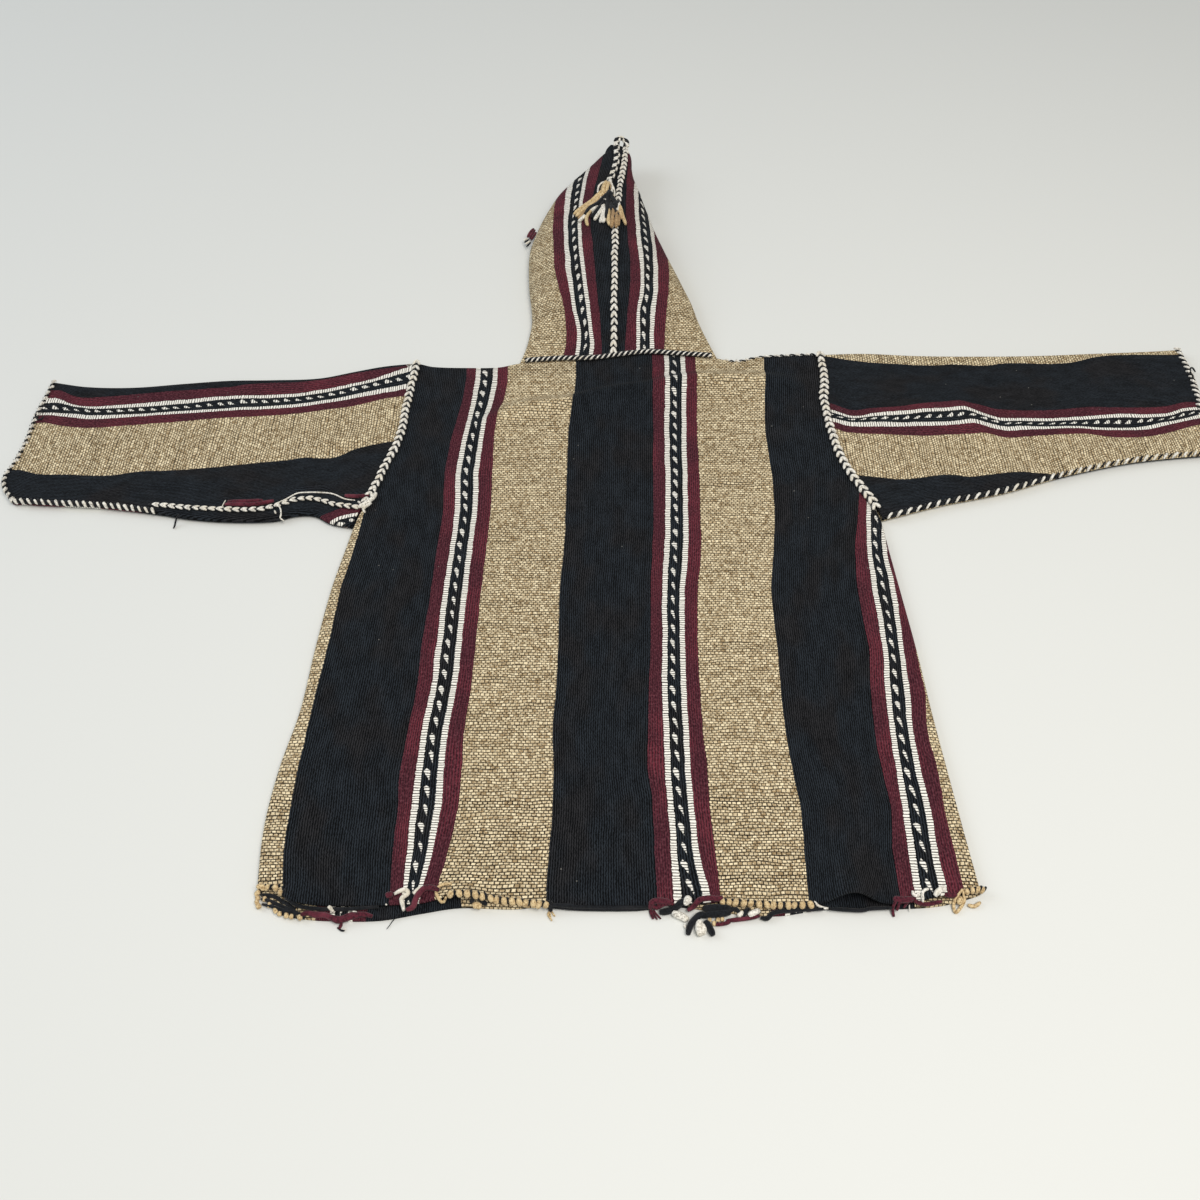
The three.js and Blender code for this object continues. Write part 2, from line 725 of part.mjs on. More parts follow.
// Ends of the tassel's outermost and middle strands, from one side of the fan to the other.
const STRAND_ENDS = [
  { part: 0, x: -54, y: 583 },
  { part: 0.15, x: -47, y: 568 },
  { part: 0.35, x: -35, y: 559 },
  { part: 0.55, x: -20, y: 566 },
  { part: 0.75, x: -6, y: 551 },
  { part: 0.88, x: 2, y: 546 },
  { part: 1, x: 13, y: 562 },
];
const STRANDS = 18;
const STRAND_RADIUS = 0.95;

const hoodLeft = curve(HOOD, 'y', 'left');
const hoodRight = curve(HOOD, 'y', 'right');

function hoodSurface(x, y) {
  const seam = hoodSeam(y);
  const edge = x < seam ? hoodLeft(y) : hoodRight(y);
  const part = THREE.MathUtils.clamp((x - seam) / (edge - seam), 0, 1);
  const waist = LAID + EDGE_ROLL;
  const rise = (1 - part ** CROWN_ROUNDNESS) ** (1 / CROWN_ROUNDNESS);
  return waist + (hoodCrown(y) - waist) * rise + CLOTH / 2;
}

function overBraid(x, y) {
  const aside = Math.abs(x - hoodSeam(y));
  return HOOD_BRAID.height * (1 - smooth(aside, HOOD_BRAID.width * 0.62, HOOD_BRAID.width * 1.15));
}

function solidOf(wasm, geometry) {
  const merged = geometry.index.array;
  const mesh = new wasm.Mesh({
    numProp: 3,
    vertProperties: new Float32Array(geometry.attributes.position.array),
    triVerts: new Uint32Array(merged),
  });
  return new wasm.Manifold(mesh);
}

function buildStrand(part, endX, endY) {
  const startX = KNOT.x + (part - 0.5) * KNOT.radius * 1.3;
  const startY = KNOT.y - KNOT.radius * 0.35;
  const rings = spread(6).map((along) => {
    const x = mix(startX, endX, along ** 1.15);
    const y = mix(startY, endY, along);
    const resting = hoodSurface(x, y) + overBraid(x, y) + SEAM_GAP + 0.5 + STRAND_RADIUS;
    const z = mix(KNOT.z - 1, resting, smooth(along, 0, 0.35));
    const taper = along === 1 ? 0.6 : 1;
    return [0, 1, 2, 3].map((corner) => {
      const angle = (corner + 0.5) * Math.PI / 2;
      const across = Math.cos(angle) * STRAND_RADIUS * 1.3 * taper;
      return new THREE.Vector3(x - across, y, z + Math.sin(angle) * STRAND_RADIUS * 1.3 * taper);
    });
  });
  return loft(rings.reverse());
}

async function buildTassel() {
  const wasm = await Module();
  wasm.setup();
  const bulge = spread(6).map((part) => {
    const angle = (part - 0.5) * Math.PI;
    return new THREE.Vector2(part === 0 || part === 1 ? 0 : Math.cos(angle) * KNOT.radius, Math.sin(angle) * KNOT.radius);
  });
  const around = 12;
  const rings = bulge.slice(1, -1).map((point) => spread(around).slice(0, -1).map((part) => {
    const angle = part * Math.PI * 2;
    const height = KNOT.z + point.x * Math.sin(angle) * KNOT.flatness;
    return new THREE.Vector3(KNOT.x - point.x * Math.cos(angle), KNOT.y + point.y, height);
  }));
  let tassel = solidOf(wasm, loft(rings));
  const endX = curve(STRAND_ENDS, 'part', 'x');
  const endY = curve(STRAND_ENDS, 'part', 'y');
  for (const part of spread(STRANDS - 1)) {
    const uneven = 4 * Math.sin(part * 61);
    const strand = solidOf(wasm, buildStrand(part, endX(part), endY(part) + uneven));
    tassel = tassel.add(strand);
  }
  const result = tassel.getMesh();
  const geometry = new THREE.BufferGeometry();
  geometry.setAttribute('position', new THREE.Float32BufferAttribute(result.vertProperties, 3));
  geometry.setIndex(Array.from(result.triVerts));
  geometry.computeVertexNormals();
  addPiece('tassel', geometry, COLOURS.tassel);
}

// ---------------------------------------------------------------- assembly

buildBody();
buildSleeve('sleeve_left', SLEEVES.left);
buildSleeve('sleeve_right', SLEEVES.right);
buildHood();
buildArmholeBraid('armhole_braid_left', SLEEVES.left);
buildArmholeBraid('armhole_braid_right', SLEEVES.right);
buildSleeveBraid();
buildNeckBraid();
buildHoodBraid();
buildCord();
await buildTassel();

export default garment;
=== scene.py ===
import math

import bpy
import numpy as np
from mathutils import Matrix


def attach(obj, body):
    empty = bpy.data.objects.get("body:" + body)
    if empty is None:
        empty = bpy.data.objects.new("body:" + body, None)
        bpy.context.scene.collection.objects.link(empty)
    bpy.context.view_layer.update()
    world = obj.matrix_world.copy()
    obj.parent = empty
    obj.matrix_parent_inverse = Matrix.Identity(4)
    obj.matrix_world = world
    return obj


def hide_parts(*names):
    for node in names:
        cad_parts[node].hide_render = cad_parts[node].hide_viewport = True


# Hooded pullover of thick hand-woven wool, laid flat on its front on a pale table, with its
# pointed hood spread above it. Metres, +Z up, hem towards -Y, hood towards +Y.

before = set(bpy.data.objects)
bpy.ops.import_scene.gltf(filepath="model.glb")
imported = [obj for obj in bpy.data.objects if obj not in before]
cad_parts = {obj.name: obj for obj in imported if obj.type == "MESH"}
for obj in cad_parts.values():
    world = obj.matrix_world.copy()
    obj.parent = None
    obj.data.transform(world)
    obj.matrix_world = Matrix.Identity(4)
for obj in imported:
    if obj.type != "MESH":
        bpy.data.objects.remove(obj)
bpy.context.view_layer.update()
bpy.ops.object.select_all(action="DESELECT")

# ---------------------------------------------------------------- camera
# The garment is seen from over its hem, from about the height of a standing person's chest
# above the table. The lens is that of a hand-held camera.

CAMERA_AT = (-0.019, -0.752, 0.913)
CAMERA_TILT = 38.7
SENSOR_WIDTH = 36
FOCAL_LENGTH = 35.34

bpy.ops.object.camera_add(location=CAMERA_AT, rotation=(math.radians(CAMERA_TILT), 0, 0))
camera = bpy.context.object
camera.data.sensor_width = SENSOR_WIDTH
camera.data.lens = FOCAL_LENGTH
bpy.context.scene.camera = camera
bpy.context.scene.view_settings.view_transform = "Standard"

# ---------------------------------------------------------------- tip cord
# A limp, loose plait of two white and two black wool yarns. It goes on from the plait of the
# hood's seam, turns round in one bend and lies back along the hood to the knot of the tassel.

CORD_YARN = 0.0017
CORD_HALF_WIDTH = 0.0027
CORD_HALF_HEIGHT = 0.0014
CORD_PLAIT_LENGTH = 0.017
CORD_PATH = (
    (0.0166, 0.7405, 0.0429),
    (0.0173, 0.745, 0.0431),
    (0.0166, 0.7498, 0.0443),
    (0.0136, 0.7534, 0.046),
    (0.0098, 0.7542, 0.0473),
    (0.0062, 0.7518, 0.048),
    (0.0043, 0.747, 0.0479),
    (0.0036, 0.7405, 0.047),
    (0.0036, 0.732, 0.0459),
    (0.0039, 0.722, 0.045),
    (0.0039, 0.711, 0.0447),
    (0.003, 0.699, 0.0447),
    (0.0009, 0.685, 0.0447),
    (-0.0019, 0.671, 0.0447),
    (-0.0055, 0.657, 0.045),
    (-0.0094, 0.6439, 0.0466),
)


def route_through(points, steps):
    """A smooth line through points, in this many steps from each point to the next."""
    points = np.array(points, float)
    before = np.vstack([2 * points[0] - points[1], points[:-1]])
    after = np.vstack([points[1:], 2 * points[-1] - points[-2]])
    slope = (after - before) / 2
    line = []
    for i in range(len(points) - 1):
        for t in np.arange(steps) / steps:
            s = t * t * (3 - 2 * t)
            eased = points[i] * (1 - s) + points[i + 1] * s
            line.append(eased + slope[i] * t * (1 - t) ** 2 + slope[i + 1] * t * t * (t - 1))
    return np.array(line + [points[-1]])


def unit(vectors):
    return vectors / np.maximum(np.linalg.norm(vectors, axis=-1, keepdims=True), 1e-12)


def sides_of(line, up):
    """Two directions square to a line at each of its points: aside, and upwards from it."""
    ahead = unit(np.gradient(line, axis=0))
    aside = unit(np.cross(ahead, np.broadcast_to(up, line.shape)))
    return aside, np.cross(aside, ahead)


def travelled(line):
    """How far along a line each of its points is."""
    return np.concatenate([[0], np.cumsum(np.linalg.norm(np.diff(line, axis=0), axis=1))])


def yarn(line, radius, corners):
    """A length of yarn along a line, closed at both ends: its points and its faces."""
    line = np.array(line, float)
    radius = np.broadcast_to(radius, len(line))[:, None, None]
    ahead = unit(np.gradient(line, axis=0))
    up = np.array((0.13, 0.29, 1.0)) if abs(ahead[:, 2]).max() < 0.9 else np.array((1.0, 0.3, 0.1))
    aside, above = sides_of(line, up)
    angle = np.arange(corners) * 2 * np.pi / corners
    turned = np.cos(angle)[None, :, None] * aside[:, None]
    turned = turned + np.sin(angle)[None, :, None] * above[:, None]
    rings = line[:, None] + radius * turned
    count = len(line)
    points = np.vstack([rings.reshape(-1, 3), line[:1], line[-1:]])
    first = np.arange(count - 1)[:, None] * corners + np.arange(corners)
    second = np.arange(count - 1)[:, None] * corners + (np.arange(corners) + 1) % corners
    walls = np.stack([first, first + corners, second + corners, second], axis=-1).reshape(-1, 4)
    faces = [tuple(wall) for wall in walls.tolist()]
    start = count * corners
    last = (count - 1) * corners
    for corner in range(corners):
        following = (corner + 1) % corners
        faces.append((start, corner, following))
        faces.append((start + 1, last + following, last + corner))
    return points, faces


def piece(name, parts, materials):
    """One object out of parts, each with points, faces and the number of its material."""
    points = []
    faces = []
    finishes = []
    for part_points, part_faces, finish in parts:
        offset = sum(len(found) for found in points)
        points.append(part_points)
        faces += [tuple(corner + offset for corner in face) for face in part_faces]
        finishes += [finish] * len(part_faces)
    mesh = bpy.data.meshes.new(name)
    mesh.from_pydata(np.vstack(points).tolist(), [], faces)
    mesh.polygons.foreach_set("material_index", finishes)
    mesh.polygons.foreach_set("use_smooth", [True] * len(faces))
    for material in materials:
        mesh.materials.append(material)
    mesh.update()
    made = bpy.data.objects.new(name, mesh)
    bpy.context.scene.collection.objects.link(made)
    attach(made, "root")
    return made


def linear(code):
    """An sRGB hex colour as Blender's linear one."""
    parts = [int(code[i:i + 2], 16) / 255 for i in (0, 2, 4)]
    lit = [part / 12.92 if part <= 0.04045 else ((part + 0.055) / 1.055) ** 2.4 for part in parts]
    return lit + [1]


def node(tree, kind, settings, inputs):
    """Adds a node with its settings, and its inputs in order or by name, as values or links."""
    made = tree.nodes.new("ShaderNode" + kind)
    for setting, value in settings.items():
        setattr(made, setting, value)
    for key, value in inputs.items() if isinstance(inputs, dict) else enumerate(inputs):
        if isinstance(value, bpy.types.NodeSocket):
            tree.links.new(value, made.inputs[key])
        else:
            made.inputs[key].default_value = value
    return made.outputs


# Woollen yarn, spun by hand from carded fleece: matt, with a soft sheen from loose fibres, and with
# painted shade in the grooves between its turns.
YARN_FIBRES = 2100
YARN_TURNS = 620


def woollen_yarn(name, light, painted_groove_shade, stain):
    material = bpy.data.materials.new(name)
    material.use_nodes = True
    tree = material.node_tree
    shader = tree.nodes["Principled BSDF"]
    place = node(tree, "TexCoord", {}, {})["Object"]
    fibres = node(tree, "TexNoise", {}, {"Vector": place, "Scale": YARN_FIBRES, "Detail": 2})["Fac"]
    turns = node(tree, "TexNoise", {}, {"Vector": place, "Scale": YARN_TURNS, "Detail": 3})["Fac"]
    depth = node(tree, "MapRange", {}, {"Value": turns, "From Min": 0.32, "From Max": 0.6})["Result"]
    cloudy = node(tree, "TexNoise", {}, {"Vector": place, "Scale": 55, "Detail": 2})["Fac"]
    dirty = node(tree, "MapRange", {}, {"Value": cloudy, "From Min": 0.5, "From Max": 0.8})["Result"]
    # The dark colour is painted shade, laid where the turns noise puts the grooves between turns.
    spun = node(tree, "Mix", {"data_type": "RGBA"}, {0: depth, 6: linear(painted_groove_shade), 7: linear(light)})[2]
    worn = node(tree, "Mix", {"data_type": "RGBA"}, {0: dirty, 6: spun, 7: linear(stain)})[2]
    relief = node(tree, "Bump", {}, {"Strength": 0.5, "Distance": 0.0004, "Height": fibres})["Normal"]
    tree.links.new(worn, shader.inputs["Base Color"])
    tree.links.new(relief, shader.inputs["Normal"])
    shader.inputs["Roughness"].default_value = 0.92
    shader.inputs["Specular IOR Level"].default_value = 0.2
    shader.inputs["Sheen Weight"].default_value = 0.12
    shader.inputs["Sheen Roughness"].default_value = 0.5
    return material


white_yarn = woollen_yarn("undyed_white_wool_yarn", "FCF9F0", "A7A299", "DDD5C2")
black_yarn = woollen_yarn("dyed_black_wool_yarn", "1C1F24", "090A0D", "26262A")

cord_line = route_through(CORD_PATH, 8)
cord_aside, cord_above = sides_of(cord_line, (0.12, 0.2, 1.0))
cord_turn = travelled(cord_line) / CORD_PLAIT_LENGTH * 2 * np.pi
cord_parts = []
for strand in range(4):
    direction = 1 if strand % 2 == 0 else -1
    angle = direction * cord_turn + strand * np.pi / 2
    aside = CORD_HALF_WIDTH * np.cos(angle)[:, None] * cord_aside
    above = CORD_HALF_HEIGHT * np.sin(angle)[:, None] * cord_above
    cord_parts.append((*yarn(cord_line + aside + above, CORD_YARN, 7), strand // 2))
tip_cord = piece("plaited_tip_cord", cord_parts, [white_yarn, black_yarn])
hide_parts("tip_cord")

# ---------------------------------------------------------------- body
# One width of thick blanket cloth, woven by hand in stripes, goes round both sides as a tube. Its
# folds run from the hem to the underarms, the shoulders are seamed, and the hem is left raw.

# The cloth's thickness, the height of its middle where it lies on the table, the radius of its
# folded sides, and how far the upper layer lies above the lower one, with its fall from the folds.
CLOTH = 0.0024
LAID = CLOTH / 2
ROLL = 0.0031
LAYER_RISE = 0.0047
ROLL_FADE = 0.022
UNDERARM = 0.080
# Place along the body, left fold and right fold.
SIDES = (
    (-0.346, -0.3, 0.295),
    (-0.277, -0.306, 0.291),
    (-0.218, -0.303, 0.288),
    (-0.155, -0.294, 0.285),
    (-0.087, -0.291, 0.283),
    (-0.013, -0.286, 0.279),
    (0.04, -0.279, 0.276),
    (0.08, -0.273, 0.274),
    (0.102, -0.267, 0.269),
    (0.131, -0.258, 0.257),
    (0.153, -0.253, 0.249),
    (0.202, -0.241, 0.239),
    (0.262, -0.238, 0.236),
    (0.308, -0.235, 0.241),
    (0.348, -0.233, 0.24),
)
# Place across, and the upper edge of the back and of the front neck.
BACK_TOP = (
    (-0.235, 0.332),
    (-0.214, 0.325),
    (-0.171, 0.323),
    (-0.136, 0.324),
    (-0.113, 0.331),
    (-0.067, 0.336),
    (-0.027, 0.337),
    (0.003, 0.343),
    (0.036, 0.348),
    (0.065, 0.346),
    (0.119, 0.34),
    (0.14, 0.334),
    (0.17, 0.342),
    (0.206, 0.345),
    (0.241, 0.347),
)
FRONT_NECK = (
    (-0.113, 0.331),
    (-0.036, 0.268),
    (0.036, 0.268),
    (0.119, 0.34),
)
# Place across, hem of the back and hem of the front.
HEM = (
    (-0.3, -0.33, -0.333),
    (-0.284, -0.3315, -0.349),
    (-0.277, -0.34, -0.352),
    (-0.266, -0.3445, -0.354),
    (-0.245, -0.3455, -0.356),
    (-0.2, -0.345, -0.356),
    (-0.166, -0.343, -0.35),
    (-0.135, -0.338, -0.345),
    (-0.09, -0.342, -0.346),
    (-0.06, -0.3445, -0.343),
    (0.02, -0.345, -0.342),
    (0.06, -0.344, -0.346),
    (0.08, -0.342, -0.349),
    (0.125, -0.345, -0.352),
    (0.16, -0.344, -0.347),
    (0.188, -0.34, -0.346),
    (0.222, -0.344, -0.346),
    (0.262, -0.337, -0.343),
    (0.296, -0.331, -0.334),
)
# Place across, line of the crease below the shoulders and its rise.
SHOULDER_CREASE = (
    (-0.19, 0.205, 0.0),
    (-0.152, 0.224, 0.004),
    (-0.124, 0.243, 0.009),
    (-0.09, 0.2515, 0.011),
    (-0.053, 0.257, 0.012),
    (-0.019, 0.27, 0.012),
    (0.038, 0.283, 0.0115),
    (0.082, 0.296, 0.0105),
    (0.127, 0.297, 0.011),
    (0.162, 0.297, 0.0105),
    (0.2, 0.294, 0.006),
    (0.226, 0.29, 0.0),
)
CREASE_FRONT = 0.016
CREASE_DROP = 0.022
CREASE_FALL = 1.3
# Middle, half width, rise and depth of each place where the back stands off the front.
HEM_ARCHES = (
    (0.187, 0.03, 0.015, 0.062),
    (-0.133, 0.034, 0.008, 0.048),
    (0.262, 0.02, 0.0015, 0.036),
    (-0.268, 0.026, 0.0055, 0.036),
)
NECK_SIDES = (-0.113, 0.119)
# How far folds and openings take to fade in: from a folded side, above the underarm, below the
# shoulder seam and beside the neck.
FOLD_EASE = (0.004, 0.030)
ARMHOLE_EASE = 0.070
SHOULDER_EASE = 0.024
NECK_EASE = 0.012
FAR_IN = 0.2
WELD = 0.00002


def curve(table, output=1):
    """A smooth curve from a table's first column, which rises, to another of its columns."""
    table = np.array(table, float)
    at = table[:, 0]
    value = table[:, output]
    slope = np.empty(len(at))
    slope[1:-1] = (value[2:] - value[:-2]) / (at[2:] - at[:-2])
    slope[0] = (value[1] - value[0]) / (at[1] - at[0])
    slope[-1] = (value[-1] - value[-2]) / (at[-1] - at[-2])

    def through(x):
        i = np.clip(np.searchsorted(at, x) - 1, 0, len(at) - 2)
        span = at[i + 1] - at[i]
        t = np.clip((x - at[i]) / span, 0, 1)
        s = t * t * (3 - 2 * t)
        bend = slope[i] * span * t * (1 - t) ** 2 + slope[i + 1] * span * t * t * (t - 1)
        return value[i] * (1 - s) + value[i + 1] * s + bend
    return through


def eased(value, low, high):
    t = np.clip((value - low) / (high - low), 0, 1)
    return t * t * (3 - 2 * t)


def upper_height(inset):
    """Height of the middle of the upper layer, this far in from a rolled fold."""
    inset = np.maximum(inset, 0)
    rolled = LAID + ROLL + ROLL * np.sqrt(np.maximum(1 - (1 - np.minimum(inset / ROLL, 1)) ** 2, 0))
    settled = np.exp((ROLL - inset) / ROLL_FADE)
    open_height = LAID + LAYER_RISE + (2 * ROLL - LAYER_RISE) * settled
    return np.where(inset < ROLL, rolled, open_height)


def lower_height(inset):
    inset = np.clip(inset, 0, ROLL)
    return LAID + ROLL - ROLL * np.sqrt(np.maximum(1 - (1 - inset / ROLL) ** 2, 0))


left_side = curve(SIDES, 1)
right_side = curve(SIDES, 2)
back_top = curve(BACK_TOP)
back_hem = curve(HEM, 1)
front_hem = curve(HEM, 2)
crease_line = curve(SHOULDER_CREASE, 1)
crease_rise = curve(SHOULDER_CREASE, 2)


def crease_height(x, y):
    below = crease_line(x) - y
    behind = eased(below, -CREASE_DROP, 0)
    ahead = np.exp(-((np.maximum(below, 0) / CREASE_FRONT) ** CREASE_FALL))
    return crease_rise(x) * np.where(below < 0, behind, ahead)


def arch_height(x, y):
    total = 0
    for middle, half_width, rise, depth in HEM_ARCHES:
        across = np.clip(np.abs(x - middle) / half_width, 0, 1)
        along = np.clip((y - back_hem(x)) / depth, 0, 1)
        total = total + rise * (0.5 + 0.5 * np.cos(np.pi * across)) * (1 - along) ** 2
    return total


def unevenness(x, y):
    """The slight waviness of thick cloth that lies flat."""
    return 0.00045 * np.sin(x / 0.047 + y / 0.160) * np.cos(y / 0.066 - x / 0.210)


def soft_folds(x, y, folds):
    """Troughs and ridges: each from a point to a point, with its half width and its height."""
    total = 0
    for x0, y0, x1, y1, half_width, height in folds:
        along_x, along_y = x1 - x0, y1 - y0
        length = math.hypot(along_x, along_y)
        part = ((x - x0) * along_x + (y - y0) * along_y) / length ** 2
        aside = ((x - x0) * along_y - (y - y0) * along_x) / length
        bowed = aside - 0.06 * length * np.sin(np.pi * np.clip(part, 0, 1))
        fade = eased(part, -0.15, 0.3) * (1 - eased(part, 0.7, 1.15))
        total = total + height * fade * np.exp(-(bowed / half_width) ** 2)
    return total


BACK_FOLDS = (
    (-0.262, 0.062, -0.196, 0.128, 0.009, 0.00255),
    (-0.255, 0.096, -0.18, 0.178, 0.011, -0.00187),
    (-0.244, 0.15, -0.175, 0.205, 0.012, 0.00204),
    (-0.284, -0.03, -0.25, 0.07, 0.009, 0.00153),
    (-0.215, 0.02, -0.205, 0.15, 0.016, -0.00136),
    (0.256, 0.07, 0.196, 0.15, 0.01, 0.00238),
    (0.232, 0.096, 0.176, 0.196, 0.013, -0.0017),
    (0.262, -0.01, 0.232, 0.084, 0.011, 0.00136),
    (0.196, 0.06, 0.188, 0.24, 0.016, 0.00136),
    (0.12, 0.07, 0.128, 0.26, 0.02, -0.00102),
    (-0.118, -0.04, -0.105, 0.19, 0.024, -0.00119),
    (-0.02, -0.12, -0.008, 0.06, 0.026, 0.00102),
    (0.11, -0.22, 0.104, -0.04, 0.024, 0.00102),
    (-0.245, -0.26, -0.25, -0.11, 0.018, 0.00119),
    (0.02, -0.33, 0.03, -0.23, 0.02, 0.00136),
    (-0.08, -0.33, -0.086, -0.25, 0.015, -0.00102),
)


def back_height(x, y):
    inset = np.maximum(0, np.minimum(x - left_side(y), right_side(y) - x))
    folded = upper_height(inset)
    flat = LAID + LAYER_RISE
    open_share = eased(y, UNDERARM, UNDERARM + ARMHOLE_EASE)
    above_underarm = np.maximum(folded, flat) * (1 - open_share) + flat * open_share
    base = np.where(y <= UNDERARM, folded, above_underarm)
    loose = crease_height(x, y) + arch_height(x, y)
    small = unevenness(x, y) + soft_folds(x, y, BACK_FOLDS)
    to_edge = back_top(x) - y
    stitched_down = eased(to_edge, 0, SHOULDER_EASE)
    height = base + (loose + small * eased(inset, *FOLD_EASE)) * stitched_down
    at_shoulder = (x < NECK_SIDES[0]) | (x > NECK_SIDES[1])
    rolled = upper_height(to_edge) - upper_height(FAR_IN)
    from_neck = np.minimum(np.abs(x - NECK_SIDES[0]), np.abs(x - NECK_SIDES[1]))
    closing = np.minimum(rolled, 0) * eased(from_neck, 0, NECK_EASE)
    return np.where(at_shoulder & (to_edge < ROLL), height + closing, height)


def front_height(x, y):
    inset = np.maximum(0, np.minimum(x - left_side(y), right_side(y) - x))
    return np.where(y <= UNDERARM, lower_height(inset), LAID)


def straight_line(points):
    points = np.array(points, float)
    return lambda x: np.interp(x, points[:, 0], points[:, 1])


neck_line = straight_line(FRONT_NECK)


def front_top(x):
    return np.where((x > NECK_SIDES[0]) & (x < NECK_SIDES[1]), neck_line(x), back_top(x))


# Warp stripes of the cloth, as places across it: every stripe is as wide on each piece, because
# all the pieces are cut from the same weaving.
BLACK_END = 0.088
MAROON = 0.0125
WHITE = 0.0055
FIGURED = 0.012
FIRST_WHITE = BLACK_END + MAROON
FIGURED_START = FIRST_WHITE + WHITE
FIGURED_END = FIGURED_START + FIGURED
SECOND_MAROON = FIGURED_END + WHITE
TAN_START = SECOND_MAROON + MAROON
REPEAT = 0.214

# Where the edges of the stripes lie on the back, in millimetres: each row is one edge, from the
# left to the right, with its distance from the middle line at every place along the body.
BACK_STRIPES_AT = (-346, -332, -296, -258, -219, -177, -133, -87, -13, 39, 95, 154, 217, 283, 340)
BACK_STRIPES = (
    (-279, -280, -285, -286, -286, -284, -282, -279, -276, -270, -266, -266, -266, -264, -262),
    (-192, -192, -194, -194, -196, -193, -190, -190, -187, -186, -184, -187, -182, -175, -176),
    (-183, -182, -182, -183, -182, -181, -177, -176, -175, -173, -172, -175, -170, -165, -165),
    (-168, -166, -160, -157, -157, -157, -153, -152, -151, -150, -148, -150, -147, -139, -139),
    (-155, -153, -147, -142, -141, -142, -139, -138, -137, -135, -134, -135, -136, -127, -127),
    (-63, -63, -62, -60, -60, -62, -60, -59, -59, -56, -55, -55, -54, -48, -47),
    (27, 27, 26, 26, 23, 24, 26, 29, 31, 34, 37, 38, 40, 41, 42),
    (41, 40, 40, 39, 38, 38, 38, 40, 42, 46, 49, 51, 52, 55, 56),
    (72, 71, 64, 62, 61, 61, 61, 62, 65, 71, 73, 75, 77, 80, 81),
    (80, 79, 78, 76, 76, 74, 74, 74, 78, 84, 86, 88, 89, 92, 93),
    (152, 152, 153, 154, 151, 149, 149, 150, 151, 158, 164, 166, 165, 170, 174),
    (226, 227, 227, 232, 230, 229, 232, 237, 236, 241, 252, 262, 266, 270, 272),
    (239, 239, 240, 241, 242, 243, 245, 250, 251, 253, 260, 272, 277, 281, 283),
    (266, 266, 265, 266, 264, 264, 268, 270, 274, 273, 282, 294, 299, 303, 305),
    (281, 280, 279, 278, 279, 277, 282, 282, 286, 286, 294, 306, 311, 315, 317),
)
STRIPE_EDGES = (0, BLACK_END, FIRST_WHITE, SECOND_MAROON, TAN_START)


def metres(table):
    """A table of millimetres, in metres."""
    return np.array(table) / 1000


back_edges = [curve(metres(list(zip(BACK_STRIPES_AT, row)))) for row in BACK_STRIPES]
back_places = [turn * REPEAT + edge for turn in range(3) for edge in STRIPE_EDGES]


def between(value, edges, places):
    """Where a value lies among rising edges, as a place between the places that belong to them."""
    place = places[0] + value - edges[0]
    for i in range(len(edges) - 1):
        share = (value - edges[i]) / (edges[i + 1] - edges[i])
        place = np.where(share > 0, places[i] + share * (places[i + 1] - places[i]), place)
    return np.where(value > edges[-1], places[-1] + value - edges[-1], place)


def back_warp(x, y):
    return between(x, [edge(y) for edge in back_edges], back_places)


def front_warp(x, y):
    left, right = left_side(y), right_side(y)
    start = back_warp(left, y)
    end = back_warp(right, y) - 6 * REPEAT
    return start + (end - start) * (x - left) / (right - left)


def across_layer(width, inner):
    """Insets across a layer, from one fold to the other: close round the folds, even between."""
    folded = ROLL * (1 - np.cos(np.linspace(0, np.pi / 2, 7)))
    folded = np.concatenate([folded, [0.0045, 0.0065, 0.0095, 0.013]])
    middle = np.linspace(0.017, width - 0.017, inner)
    return np.concatenate([folded, middle, width - folded[::-1]])


def cloth(name, layers, material, node_name):
    """One cloth out of layers that share their folds. Each layer has its points, the places of
    its threads across and along the weave, and whether it faces the other way."""
    points, faces, threads = [], [], []
    for grid, warp, weft, flipped in layers:
        offset = sum(len(found) for found in points)
        rows, columns = grid.shape[:2]
        index = offset + np.arange(rows * columns).reshape(rows, columns)
        corners = (index[:-1, :-1], index[:-1, 1:], index[1:, 1:], index[1:, :-1])
        corners = np.stack(corners, axis=-1).reshape(-1, 4)
        if flipped:
            corners = corners[:, ::-1]
        points.append(grid.reshape(-1, 3))
        threads.append(np.stack([warp, weft], axis=-1).reshape(-1, 2))
        faces.append(corners)
    points, faces, threads = np.vstack(points), np.vstack(faces), np.vstack(threads)
    mesh = bpy.data.meshes.new(name)
    mesh.from_pydata(points.tolist(), [], faces.tolist())
    weave = mesh.uv_layers.new(name="weave")
    weave.data.foreach_set("uv", threads[faces.reshape(-1)].reshape(-1))
    mesh.materials.append(material)
    made = bpy.data.objects.new(name, mesh)
    bpy.context.scene.collection.objects.link(made)
    bpy.ops.object.select_all(action="DESELECT")
    made.select_set(True)
    bpy.context.view_layer.objects.active = made
    bpy.ops.object.mode_set(mode="EDIT")
    bpy.ops.mesh.select_all(action="SELECT")
    bpy.ops.mesh.remove_doubles(threshold=WELD)
    bpy.ops.object.mode_set(mode="OBJECT")
    wall = made.modifiers.new("wall", "SOLIDIFY")
    wall.thickness = CLOTH
    wall.offset = 0
    wall.use_even_offset = True
    wall.thickness_clamp = 1
    bpy.ops.object.modifier_apply(modifier=wall.name)
    made.data.polygons.foreach_set("use_smooth", [True] * len(made.data.polygons))
    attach(made, "root")
    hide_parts(node_name)
    return made


# Blanket cloth of hand-spun wool, warp-faced, in the colours that the fleece had or that it was
# dyed: matt and hairy, with ribs that run along the black and maroon stripes, rungs across the
# white ones, a figure of floating white threads, and rows of mottled beads in the tan ones.
# The rungs are a little coarser than real ones, which are too fine to be told apart.
RIB = 0.0021
RUNG = 0.0026
BEAD_ACROSS = 0.0041
BEAD_ROW = 0.0029
